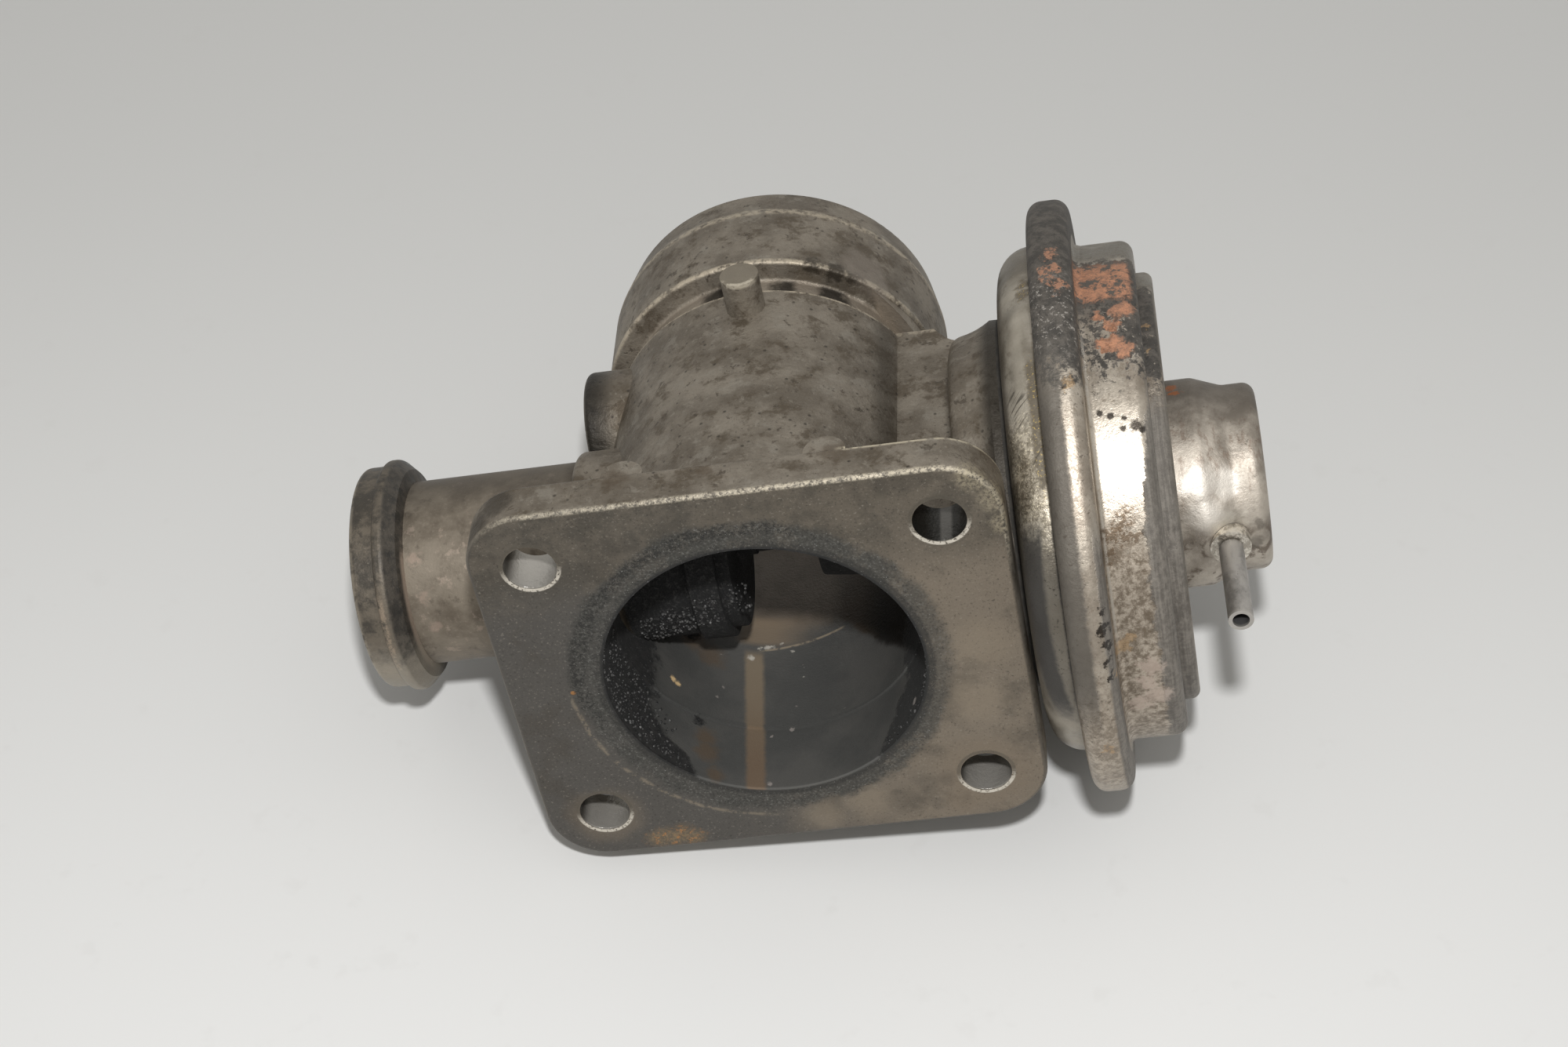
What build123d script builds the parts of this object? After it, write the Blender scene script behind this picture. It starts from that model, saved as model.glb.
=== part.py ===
"""Pneumatic exhaust gas recirculation valve, built as separate pieces in millimetres.

The cast housing carries charge air along Y, from a four-bolt flange at Y = 0 to a round
hose spigot. The valve axis crosses it along X: hot gas comes in through a steel tube on
the -X side, and a vacuum can on the +X side pulls the poppet off its seat.
"""

import os
from math import cos, radians, sin

from build123d import *

os.makedirs("parts", exist_ok=True)

# ---- General clearances -------------------------------------------------------------
press_gap = 0.02  # radial gap left between pieces that are pressed or brazed together
running_gap = 0.04  # radial gap between the stem and what guides it
thread_gap = 0.1  # radial gap around screw shanks

# ---- Bolt flange, its outer face is the plane Y = 0 ---------------------------------
flange_width = 84.0
flange_height = 74.4
flange_corner = 10.0
flange_thickness = 8.0
flange_edge_round = 1.0
flange_root_round = 2.5
bolt_spacing_x = 64.0
bolt_spacing_z = 54.0
bolt_hole_radius = 4.2

# ---- Duct, along Y ------------------------------------------------------------------
register_radius = 25.8
register_depth = 14.0
register_step = 0.4
duct_wall = 2.4
groove_y = 66.0
groove_width = 5.0
groove_depth = 1.8
groove_round = 0.7
collar_step = 2.1
collar_width = 15.8
gusset_drop = 0.5
nose_length = 8.3
nose_drop = 1.7
nose_round = 1.2
spigot_bore_step = 1.6
spigot_bore_lead = 3.0

# ---- Valve axis and the gas side ----------------------------------------------------
valve_axis_y = 35.0
inlet_reach = 68.3
tube_radius = 15.65
tube_wall = 1.75
tube_recess = 1.2
gas_boss_stand = 2.8
gas_boss_wall = 1.5
boss_edge_round = 1.2
lug_radius = 10.2
lug_stand = 7.63
lug_z = 7.0

rim_step = 3.25
rim_width = 4.1
bead_step = 0.9
bead_width = 1.7
cone_width = 2.0
cone_step = 2.2
neck_width = 0.7
rim_round = 1.0
bead_round = 0.7
cone_round = 1.1

seat_offset = 8.0
seat_bore_radius = 12.6
seat_lip = 2.4
seat_socket = 2.4
seat_ring_wall = 1.1

# ---- Poppet and stem ----------------------------------------------------------------
valve_lift = 7.0
poppet_radius = 15.2
poppet_thickness = 2.2
poppet_hub_radius = 3.4
poppet_hub_height = 3.0
poppet_hub_flare = 1.2
poppet_dish_radius = 9.5
poppet_dish_depth = 0.8
stem_radius = 3.0
stem_spigot_radius = 2.3
stem_head_radius = 3.7
stem_head_height = 1.0
stem_tail = 1.0

# ---- Stem guide in the housing ------------------------------------------------------
guide_clearance = 3.9
guide_nose_radius = 8.2
guide_root_radius = 10.0
guide_nose_round = 0.4
bush_radius = 5.5
bush_length = 24.0
bush_recess = 2.6
scraper_height = 1.8
seal_radius = 8.0
seal_height = 3.2
retainer_height = 1.6

# ---- Web and actuator flange of the housing -----------------------------------------
actuator_face_x = 42.0
actuator_flange_radius = 30.7
actuator_flange_thickness = 1.4
actuator_flare = 7.0
actuator_flare_drop = 2.2
actuator_flare_round = 2.5
web_half_height = 15.3
web_overlap = 10.0
web_waist_y = 61.4
web_shoulder = 1.8

# ---- Vacuum can ---------------------------------------------------------------------
sheet = 1.4
gasket_thickness = 1.0
gasket_hole_radius = 9.2
can_radius = 41.0
dish_depth = 8.8
dish_step = 1.0
dish_bend = 5.8
dish_hole_radius = 5.2
vent_radius = 1.8
vent_count = 3
screw_edge = 5.5
screw_angle = 25.0
screw_radius = 2.1
screw_length = 12.0
screw_head_radius = 4.1
screw_head_height = 2.6
screw_socket_radius = 2.3
screw_socket_depth = 1.4
can_rim_reach = 8.1
can_rim_round = 2.4
curl_reach = 4.6
shell_depth = 13.6
shell_step_inset = 5.6
shell_step_height = 2.6
shell_round = 2.2
shell_step_round = 1.5
shell_root_round = 1.2

# ---- Diaphragm, plates and spring ---------------------------------------------------
diaphragm_thickness = 1.0
diaphragm_bead = 2.6
diaphragm_bead_width = 3.8
roll_clearance = 0.5
roll_lift = 1.2
diaphragm_round = 1.2
backing_standoff = 2.8
backing_clearance = 1.9
backing_thickness = 1.2
roll_width = 10.5
piston_thickness = 1.2
piston_skirt = 4.6
washer_radius = 5.5
washer_thickness = 0.8
nut_width = 8.0
nut_height = 4.0
wire_radius = 0.9
spring_coils = 5
spring_gap = 0.3
spring_seat_thickness = 1.0
spring_seat_pilot = 2.2

# ---- End cap and vacuum nipple ------------------------------------------------------
cap_radius = 17.2
cap_wall = 1.2
cap_straight = 4.2
cap_taper = 4.8
cap_bend = 3.0
cap_taper_drop = 1.8
cap_length = 14.3
cap_end_round = 2.0
cap_flange = 3.0
nipple_stand = 7.5
nipple_radius = 2.0
nipple_bore_radius = 1.35
nipple_length = 35.1
nipple_root_radius = 1.75
nipple_shoulder = 0.3
collar_radius = 3.3
collar_height = 2.2

# ---- Cast details of the housing ----------------------------------------------------
stop_pin_radius = 3.3
stop_pin_x = -0.3
stop_pin_setback = 4.7
stop_pin_height = 6.6
ejector_pad_radius = 3.3
ejector_pad_xs = (-16.0, 15.7)
ejector_pad_drop = 0.3

# ---- Planes and places worked out from the sizes ------------------------------------
duct_plane = Plane(origin=(0, 0, 0), x_dir=(1, 0, 0), z_dir=(0, 1, 0))
valve_plane = Plane(origin=(0, valve_axis_y, 0), x_dir=(0, 1, 0), z_dir=(1, 0, 0))
valve_half_plane = Plane(origin=(0, valve_axis_y, 0), x_dir=(1, 0, 0), z_dir=(0, 0, 1))
valve_axis = Axis((0, valve_axis_y, 0), (1, 0, 0))

bore_radius = register_radius - register_step
spigot_bore_radius = bore_radius - spigot_bore_step
duct_radius = register_radius + duct_wall
groove_radius = duct_radius - groove_depth
collar_y = groove_y + groove_width
collar_outer = duct_radius + collar_step
nose_y = collar_y + collar_width
spigot_end_y = nose_y + nose_length
spigot_end_radius = collar_outer - nose_drop
stop_pin_y = groove_y - stop_pin_setback
gas_boss_radius = tube_radius + press_gap + gas_boss_wall
lug_y = valve_axis_y + gas_boss_radius + lug_stand
web_shoulder_x = duct_radius + web_shoulder
gas_boss_reach = duct_radius + gas_boss_stand

seat_x = -seat_offset
tube_end_x = seat_x - seat_lip
tube_mouth_x = -(inlet_reach - tube_recess)
rim_radius = tube_radius + rim_step
bead_radius = rim_radius + bead_step
cone_radius = tube_radius + cone_step
seat_outer_radius = tube_radius + press_gap + seat_ring_wall
poppet_back_x = seat_x + poppet_thickness + poppet_hub_height

actuator_back_x = actuator_face_x - actuator_flange_thickness
flare_start_x = actuator_back_x - actuator_flare
flare_start_radius = actuator_flange_radius - actuator_flare_drop
seal_pocket_x = actuator_face_x - seal_height - retainer_height
guide_nose_x = poppet_back_x + valve_lift + guide_clearance
bush_start_x = guide_nose_x + bush_recess

can_rim_radius = can_radius + can_rim_reach
dish_radius = can_radius + dish_step
shell_step_radius = can_radius - shell_step_inset
vent_ring_radius = (actuator_flange_radius + dish_radius - dish_bend) / 2
dish_face_x = actuator_face_x + gasket_thickness
dish_floor_x = dish_face_x + sheet
dish_rim_x = dish_face_x + dish_depth
shell_rim_x = dish_rim_x + diaphragm_bead
shell_end_x = shell_rim_x + shell_depth
curl_x = dish_rim_x - sheet - sheet
shell_inner_radius = can_radius - sheet

backing_x = dish_floor_x + backing_standoff
diaphragm_x = backing_x + backing_thickness
piston_x = diaphragm_x + diaphragm_thickness
washer_x = piston_x + piston_thickness
nut_x = washer_x + washer_thickness
stem_end_x = nut_x + nut_height + stem_tail
roll_outer = shell_inner_radius - roll_clearance
piston_radius = roll_outer - roll_width
leg_outer = piston_radius + press_gap + diaphragm_thickness
roll_x = shell_rim_x + roll_lift
roll_mid = (piston_radius + press_gap + roll_outer) / 2
bead_outer = can_rim_radius - sheet - press_gap
rim_inner_round = can_rim_round - sheet

shell_floor_x = shell_end_x - sheet
shell_shoulder_x = shell_end_x - shell_step_height
shell_step_inner = shell_step_radius - sheet
cap_taper_x = shell_end_x + cap_straight
cap_neck_x = cap_taper_x + cap_taper
cap_end_reach = shell_end_x + cap_length
cap_end_radius = cap_radius - cap_taper_drop
cap_inner_x = cap_end_reach - cap_wall
cap_inner_radius = cap_end_radius - cap_wall
spring_start_x = washer_x + spring_gap
spring_end_x = cap_inner_x - spring_seat_thickness - press_gap
cap_end_corner = cap_end_round - cap_wall
spring_mean_radius = cap_inner_radius - wire_radius - 2 * spring_gap

nipple_x = shell_end_x + nipple_stand
nipple_tip_y = valve_axis_y - nipple_length
nipple_start_y = valve_axis_y - cap_inner_radius
collar_end_y = valve_axis_y - cap_end_radius - collar_height

screw_ring_radius = actuator_flange_radius - screw_edge
backing_radius = screw_ring_radius - screw_head_radius - backing_clearance
screw_reach_y = screw_ring_radius * cos(radians(screw_angle))
screw_reach_z = screw_ring_radius * sin(radians(screw_angle))

# ---- Housing ------------------------------------------------------------------------
# The groove behind the stop pin narrows towards the web, where the collar leans forward.
with BuildPart() as collar_gusset:
    with BuildSketch(duct_plane.offset(groove_y)):
        Circle(collar_outer - gusset_drop)
    extrude(amount=groove_width + press_gap)
    with BuildSketch(Plane.XY.offset(-collar_outer)):
        with BuildLine():
            Polyline(
                (web_shoulder_x - web_overlap, collar_y),
                (collar_outer, groove_y),
                (collar_outer, collar_y + press_gap),
                (web_shoulder_x - web_overlap, collar_y + press_gap),
                close=True,
            )
        make_face()
    extrude(amount=2 * collar_outer, mode=Mode.INTERSECT)

# Boss round the gas tube and the lug beside it share one face on the -X side.
with BuildPart() as gas_boss:
    with BuildSketch(valve_plane.offset(-gas_boss_reach)):
        Circle(gas_boss_radius)
        with Locations((lug_y - valve_axis_y, lug_z)):
            Circle(lug_radius)
    extrude(amount=gas_boss_reach)
    fillet(gas_boss.faces().sort_by(Axis.X)[0].edges(), boss_edge_round)

with BuildPart() as housing:
    # Four-bolt flange, with rounded edges all round.
    with BuildSketch(duct_plane):
        RectangleRounded(flange_width, flange_height, flange_corner)
    extrude(amount=flange_thickness)
    fillet(housing.faces().sort_by(Axis.Y)[0].edges(), flange_edge_round)
    fillet(housing.faces().sort_by(Axis.Y)[-1].edges(), flange_edge_round)

    # Duct, clip groove, collar and tapered nose are one turned outline about Y.
    with BuildSketch(Plane.XY):
        with BuildLine():
            Polyline(
                (0, flange_thickness / 2),
                (duct_radius, flange_thickness / 2),
                (duct_radius, groove_y),
                (groove_radius, groove_y),
                (groove_radius, collar_y),
                (collar_outer, collar_y),
                (collar_outer, nose_y),
                (spigot_end_radius, spigot_end_y),
                (0, spigot_end_y),
                close=True,
            )
        make_face()
        nose_corner = vertices().sort_by(Axis.Y)[-2:].sort_by(Axis.X)[-1]
        fillet(nose_corner, nose_round)
        groove_corners = vertices().filter_by_position(Axis.Y, groove_y - press_gap, collar_y + press_gap)
        fillet(groove_corners, groove_round)
    revolve(axis=Axis.Y)
    root_edges = housing.edges().filter_by(GeomType.CIRCLE).filter_by_position(
        Axis.Y, flange_thickness - press_gap, flange_thickness + press_gap
    )
    fillet(root_edges.sort_by(SortBy.RADIUS)[-1], flange_root_round)
    add(collar_gusset.part)

    # Web between the duct and the actuator flange, waisted at the back.
    with BuildSketch(Plane.XY.offset(-web_half_height)):
        with BuildLine():
            Polyline(
                (flare_start_x + actuator_flare_round, web_waist_y),
                (actuator_back_x, web_waist_y),
                (actuator_back_x, flange_thickness / 2),
                (web_overlap, flange_thickness / 2),
                (web_overlap, groove_y),
                (web_shoulder_x, groove_y),
            )
            Spline(
                (web_shoulder_x, groove_y),
                (flare_start_x + actuator_flare_round, web_waist_y),
                tangents=((1, -1.5), (1, 0)),
            )
        make_face()
    extrude(amount=2 * web_half_height)

    # Round actuator flange with a flared root.
    with BuildSketch(valve_half_plane):
        with BuildLine():
            TangentArc(
                (flare_start_x, flare_start_radius),
                (actuator_back_x, actuator_flange_radius),
                tangent=(1, 0),
            )
            Polyline(
                (actuator_back_x, actuator_flange_radius),
                (actuator_face_x, actuator_flange_radius),
                (actuator_face_x, 0),
                (flare_start_x, 0),
                (flare_start_x, flare_start_radius),
            )
        make_face()
        fillet(vertices().group_by(Axis.X)[0].sort_by(Axis.Y)[-1], actuator_flare_round)
    revolve(axis=valve_axis)

    add(gas_boss.part)

    # Stop pin on top of the duct, and the ejector pads behind the flange.
    with BuildSketch(Plane.XY):
        with Locations((stop_pin_x, stop_pin_y)):
            Circle(stop_pin_radius)
    extrude(amount=duct_radius + stop_pin_height)
    with BuildSketch(Plane.XY):
        with Locations(*[(pad_x, flange_thickness) for pad_x in ejector_pad_xs]):
            Circle(ejector_pad_radius)
    extrude(amount=flange_height / 2 - ejector_pad_drop)

    # Register, main bore and spigot bore, cut as one turned outline about Y.
    with BuildSketch(Plane.XY):
        with BuildLine():
            Polyline(
                (0, 0),
                (register_radius, 0),
                (register_radius, register_depth),
                (bore_radius, register_depth),
                (bore_radius, groove_y - spigot_bore_lead - duct_wall),
                (spigot_bore_radius, groove_y - duct_wall),
                (spigot_bore_radius, spigot_end_y),
                (0, spigot_end_y),
                close=True,
            )
        make_face()
    revolve(axis=Axis.Y, mode=Mode.SUBTRACT)

    # Conical boss for the stem guide, standing into the bore from the +X wall.
    with BuildSketch(valve_half_plane):
        with BuildLine():
            Polyline(
                (guide_nose_x, 0),
                (guide_nose_x, guide_nose_radius),
                (bore_radius, guide_root_radius),
                (bore_radius + duct_wall, guide_root_radius),
                (bore_radius + duct_wall, 0),
                close=True,
            )
        make_face()
        fillet(vertices().group_by(Axis.X)[0].sort_by(Axis.Y)[-1], guide_nose_round)
    revolve(axis=valve_axis)

    # Bores on the valve axis: gas tube, guide bush and scraper, stem, seal pocket.
    with BuildSketch(valve_plane.offset(-gas_boss_reach)):
        Circle(tube_radius + press_gap)
    extrude(amount=gas_boss_reach - seat_offset, mode=Mode.SUBTRACT)
    with BuildSketch(valve_plane.offset(guide_nose_x)):
        Circle(bush_radius + press_gap)
    extrude(amount=bush_recess + bush_length, mode=Mode.SUBTRACT)
    with BuildSketch(valve_plane.offset(guide_nose_x)):
        Circle(stem_radius + thread_gap)
    extrude(amount=actuator_face_x - guide_nose_x, mode=Mode.SUBTRACT)
    with BuildSketch(valve_plane.offset(seal_pocket_x)):
        Circle(seal_radius + press_gap)
    extrude(amount=actuator_face_x - seal_pocket_x, mode=Mode.SUBTRACT)

    # Machined face that the can's gasket lies on.
    with BuildSketch(valve_plane.offset(actuator_face_x)):
        Circle(can_radius)
    extrude(amount=gasket_thickness, mode=Mode.SUBTRACT)

    # Flange bolt holes and the tapped holes for the can screws.
    with BuildSketch(duct_plane):
        with GridLocations(bolt_spacing_x, bolt_spacing_z, 2, 2):
            Circle(bolt_hole_radius)
    extrude(amount=flange_thickness, mode=Mode.SUBTRACT)
    with BuildSketch(valve_plane.offset(actuator_face_x - screw_length)):
        with GridLocations(2 * screw_reach_y, 2 * screw_reach_z, 2, 2):
            Circle(screw_radius + thread_gap)
    extrude(amount=screw_length, mode=Mode.SUBTRACT)
housing.part.label = "housing"
export_step(housing.part, "parts/housing.step")

# ---- Gas side: tube, clamp flange and valve seat ------------------------------------
with BuildPart() as gas_inlet_tube:
    with BuildSketch(valve_plane.offset(tube_mouth_x)):
        Circle(tube_radius)
        Circle(tube_radius - tube_wall, mode=Mode.SUBTRACT)
    extrude(amount=tube_end_x - tube_mouth_x)
gas_inlet_tube.part.label = "gas_inlet_tube"
export_step(gas_inlet_tube.part, "parts/gas_inlet_tube.step")

# Turned ring for a V-band clamp: rim, taller bead, then the cone that the clamp grips.
with BuildPart() as vband_flange:
    bead_x = -inlet_reach + rim_width
    cone_x = bead_x + bead_width
    with BuildSketch(valve_half_plane):
        with BuildLine():
            Polyline(
                (-inlet_reach, tube_radius - tube_wall),
                (-inlet_reach, rim_radius),
                (bead_x, rim_radius),
                (bead_x, bead_radius),
                (cone_x, bead_radius),
                (cone_x + cone_width, cone_radius),
                (cone_x + cone_width + neck_width, tube_radius + press_gap),
                (tube_mouth_x - press_gap, tube_radius + press_gap),
                (tube_mouth_x - press_gap, tube_radius - tube_wall),
                close=True,
            )
        make_face()
        fillet(vertices().group_by(Axis.Y)[-1].sort_by(Axis.X)[-1], cone_round)
        fillet(vertices().group_by(Axis.Y)[-1].sort_by(Axis.X)[0], bead_round)
        fillet(vertices().group_by(Axis.X)[0].sort_by(Axis.Y)[-1], rim_round)
    revolve(axis=valve_axis)
vband_flange.part.label = "vband_flange"
export_step(vband_flange.part, "parts/vband_flange.step")

# The seat ring is pushed over the inner end of the tube.
with BuildPart() as valve_seat:
    with BuildSketch(valve_half_plane):
        with BuildLine():
            Polyline(
                (tube_end_x - seat_socket, tube_radius + press_gap),
                (tube_end_x - seat_socket, seat_outer_radius),
                (seat_x, seat_outer_radius),
                (seat_x, seat_bore_radius),
                (tube_end_x + press_gap, seat_bore_radius),
                (tube_end_x + press_gap, tube_radius + press_gap),
                close=True,
            )
        make_face()
    revolve(axis=valve_axis)
valve_seat.part.label = "valve_seat"
export_step(valve_seat.part, "parts/valve_seat.step")

# ---- Moving valve: poppet and stem --------------------------------------------------
with BuildPart() as poppet:
    with BuildSketch(valve_half_plane):
        with BuildLine():
            Polyline(
                (seat_x + poppet_dish_depth, stem_spigot_radius + press_gap),
                (seat_x + poppet_dish_depth, poppet_dish_radius),
                (seat_x, seat_bore_radius - poppet_dish_depth),
                (seat_x, poppet_radius),
                (seat_x + poppet_thickness, poppet_radius),
                (seat_x + poppet_thickness, poppet_hub_radius + poppet_hub_flare),
                (seat_x + poppet_thickness + poppet_hub_flare, poppet_hub_radius),
                (poppet_back_x, poppet_hub_radius),
                (poppet_back_x, stem_spigot_radius + press_gap),
                close=True,
            )
        make_face()
    revolve(axis=valve_axis)
poppet.part.label = "poppet"
export_step(poppet.part, "parts/poppet.step")

# The stem is headed over in front of the poppet and carries the plates behind a shoulder.
with BuildPart() as stem:
    with BuildSketch(valve_half_plane):
        with BuildLine():
            Polyline(
                (seat_x + poppet_dish_depth - stem_head_height, 0),
                (seat_x + poppet_dish_depth - stem_head_height, stem_head_radius),
                (seat_x + poppet_dish_depth, stem_head_radius),
                (seat_x + poppet_dish_depth, stem_spigot_radius),
                (poppet_back_x, stem_spigot_radius),
                (poppet_back_x, stem_radius),
                (backing_x, stem_radius),
                (backing_x, stem_spigot_radius),
                (stem_end_x, stem_spigot_radius),
                (stem_end_x, 0),
                close=True,
            )
        make_face()
    revolve(axis=valve_axis)
    chamfer(stem.edges().sort_by(Axis.X)[-1], stem_spigot_radius / 4)
stem.part.label = "stem"
export_step(stem.part, "parts/stem.step")

# ---- Stem guide: scraper, bush, seal and its retainer -------------------------------
with BuildPart() as stem_scraper:
    with BuildSketch(valve_plane.offset(bush_start_x - scraper_height)):
        Circle(bush_radius)
        Circle(stem_radius + running_gap, mode=Mode.SUBTRACT)
    extrude(amount=scraper_height)
stem_scraper.part.label = "stem_scraper"
export_step(stem_scraper.part, "parts/stem_scraper.step")

with BuildPart() as guide_bush:
    with BuildSketch(valve_plane.offset(bush_start_x)):
        Circle(bush_radius)
        Circle(stem_radius + running_gap, mode=Mode.SUBTRACT)
    extrude(amount=bush_length)
guide_bush.part.label = "guide_bush"
export_step(guide_bush.part, "parts/guide_bush.step")

with BuildPart() as stem_seal:
    with BuildSketch(valve_plane.offset(seal_pocket_x)):
        Circle(seal_radius)
        Circle(stem_radius + running_gap, mode=Mode.SUBTRACT)
    extrude(amount=seal_height)
stem_seal.part.label = "stem_seal"
export_step(stem_seal.part, "parts/stem_seal.step")

with BuildPart() as seal_retainer:
    with BuildSketch(valve_plane.offset(seal_pocket_x + seal_height)):
        Circle(seal_radius)
        Circle(stem_radius + thread_gap, mode=Mode.SUBTRACT)
    extrude(amount=retainer_height)
seal_retainer.part.label = "seal_retainer"
export_step(seal_retainer.part, "parts/seal_retainer.step")

# ---- Vacuum can: gasket, dish, screws and shell -------------------------------------
with BuildPart() as actuator_gasket:
    with BuildSketch(valve_plane.offset(actuator_face_x)):
        Circle(actuator_flange_radius)
        Circle(gasket_hole_radius, mode=Mode.SUBTRACT)
        with GridLocations(2 * screw_reach_y, 2 * screw_reach_z, 2, 2):
            Circle(screw_radius + thread_gap, mode=Mode.SUBTRACT)
    extrude(amount=gasket_thickness)
actuator_gasket.part.label = "actuator_gasket"
export_step(actuator_gasket.part, "parts/actuator_gasket.step")

# Pressed dish: flat floor, deep bend, straight wall, then the rim that holds the diaphragm.
with BuildPart() as actuator_dish:
    with BuildSketch(valve_half_plane):
        with BuildLine():
            Polyline(
                (dish_face_x, dish_hole_radius),
                (dish_face_x, dish_radius),
                (dish_rim_x - sheet, dish_radius),
                (dish_rim_x - sheet, bead_outer),
                (dish_rim_x, bead_outer),
                (dish_rim_x, dish_radius - sheet),
                (dish_floor_x, dish_radius - sheet),
                (dish_floor_x, dish_hole_radius),
                close=True,
            )
        make_face()
        fillet(vertices().group_by(Axis.X)[1].sort_by(Axis.Y)[-1], dish_bend - sheet)
        fillet(vertices().group_by(Axis.X)[0].sort_by(Axis.Y)[-1], dish_bend)
        fillet(vertices().group_by(Axis.Y)[-1].sort_by(Axis.X)[0], rim_inner_round)
    revolve(axis=valve_axis)
    with BuildSketch(valve_plane.offset(dish_face_x)):
        with GridLocations(2 * screw_reach_y, 2 * screw_reach_z, 2, 2):
            Circle(screw_radius + thread_gap)
        with PolarLocations(vent_ring_radius, vent_count, start_angle=90):
            Circle(vent_radius)
    extrude(amount=sheet, mode=Mode.SUBTRACT)
actuator_dish.part.label = "actuator_dish"
export_step(actuator_dish.part, "parts/actuator_dish.step")

# Four socket-head screws hold the dish to the actuator flange from inside the can.
with BuildPart() as dish_screws:
    with BuildSketch(valve_plane.offset(dish_floor_x)):
        with GridLocations(2 * screw_reach_y, 2 * screw_reach_z, 2, 2):
            Circle(screw_head_radius)
    extrude(amount=screw_head_height)
    with BuildSketch(valve_plane.offset(actuator_face_x - screw_length + thread_gap)):
        with GridLocations(2 * screw_reach_y, 2 * screw_reach_z, 2, 2):
            Circle(screw_radius)
    extrude(amount=dish_floor_x - actuator_face_x + screw_length - thread_gap)
    with BuildSketch(valve_plane.offset(dish_floor_x + screw_head_height - screw_socket_depth)):
        with GridLocations(2 * screw_reach_y, 2 * screw_reach_z, 2, 2):
            RegularPolygon(screw_socket_radius, 6)
    extrude(amount=screw_socket_depth, mode=Mode.SUBTRACT)
dish_screws.part.label = "dish_screws"
export_step(dish_screws.part, "parts/dish_screws.step")

# Pressed shell: its rim is curled over the edge of the dish to clamp the diaphragm bead.
with BuildPart() as actuator_shell:
    with BuildSketch(valve_half_plane):
        with BuildLine():
            Polyline(
                (shell_end_x, cap_radius + press_gap),
                (shell_end_x, shell_step_radius),
                (shell_shoulder_x, shell_step_radius),
                (shell_shoulder_x, can_radius),
                (shell_rim_x + sheet, can_radius),
                (shell_rim_x + sheet, can_rim_radius),
                (curl_x, can_rim_radius),
                (curl_x, can_rim_radius - curl_reach),
                (curl_x + sheet, can_rim_radius - curl_reach),
                (curl_x + sheet, can_rim_radius - sheet),
                (shell_rim_x, can_rim_radius - sheet),
                (shell_rim_x, shell_inner_radius),
                (shell_shoulder_x - sheet, shell_inner_radius),
                (shell_shoulder_x - sheet, shell_step_inner),
                (shell_floor_x, shell_step_inner),
                (shell_floor_x, cap_radius + press_gap),
                close=True,
            )
        make_face()
        fillet(vertices().group_by(Axis.Y)[-1], can_rim_round)
        fillet(vertices().group_by(Axis.Y)[-2], rim_inner_round)
        low = can_radius - press_gap
        high = can_radius + press_gap
        fillet(vertices().filter_by_position(Axis.Y, low, high).sort_by(Axis.X)[-1], shell_round)
        fillet(vertices().filter_by_position(Axis.Y, low, high).sort_by(Axis.X)[0], shell_root_round)
        fillet(vertices().group_by(Axis.X)[-1].sort_by(Axis.Y)[-1], shell_step_round)
    revolve(axis=valve_axis)
actuator_shell.part.label = "actuator_shell"
export_step(actuator_shell.part, "parts/actuator_shell.step")

# ---- Diaphragm and the plates on the stem -------------------------------------------
with BuildPart() as backing_plate:
    with BuildSketch(valve_plane.offset(backing_x)):
        Circle(backing_radius)
        Circle(stem_spigot_radius + press_gap, mode=Mode.SUBTRACT)
    extrude(amount=backing_thickness)
    outer_edges = backing_plate.edges().filter_by(GeomType.CIRCLE).sort_by(SortBy.RADIUS)[-2:]
    chamfer(outer_edges.sort_by(Axis.X)[0], backing_thickness / 2)
backing_plate.part.label = "backing_plate"
export_step(backing_plate.part, "parts/backing_plate.step")

# Rolling diaphragm: flat centre, leg up the piston skirt, half-round roll, clamped bead.
with BuildPart() as diaphragm:
    with BuildSketch(valve_half_plane):
        with BuildLine():
            Polyline(
                (roll_x, piston_radius + press_gap),
                (piston_x, piston_radius + press_gap),
                (piston_x, stem_spigot_radius + press_gap),
                (diaphragm_x, stem_spigot_radius + press_gap),
                (diaphragm_x, leg_outer),
                (roll_x, leg_outer),
            )
            ThreePointArc(
                (roll_x, leg_outer),
                (roll_x + roll_mid - leg_outer, roll_mid),
                (roll_x, roll_outer - diaphragm_thickness),
            )
            Polyline(
                (roll_x, roll_outer - diaphragm_thickness),
                (shell_rim_x - diaphragm_thickness, roll_outer - diaphragm_thickness),
                (shell_rim_x - diaphragm_thickness, bead_outer - diaphragm_bead_width),
                (dish_rim_x, bead_outer - diaphragm_bead_width),
                (dish_rim_x, bead_outer),
                (shell_rim_x, bead_outer),
                (shell_rim_x, roll_outer),
                (roll_x, roll_outer),
            )
            ThreePointArc(
                (roll_x, roll_outer),
                (roll_x + roll_outer - roll_mid, roll_mid),
                (roll_x, piston_radius + press_gap),
            )
        make_face()
        fillet(vertices().group_by(Axis.X)[0].sort_by(Axis.Y)[-1], diaphragm_round)
        fillet(vertices().group_by(Axis.Y)[-1].sort_by(Axis.X)[-1], rim_inner_round)
    revolve(axis=valve_axis)
diaphragm.part.label = "diaphragm"
export_step(diaphragm.part, "parts/diaphragm.step")

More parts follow.
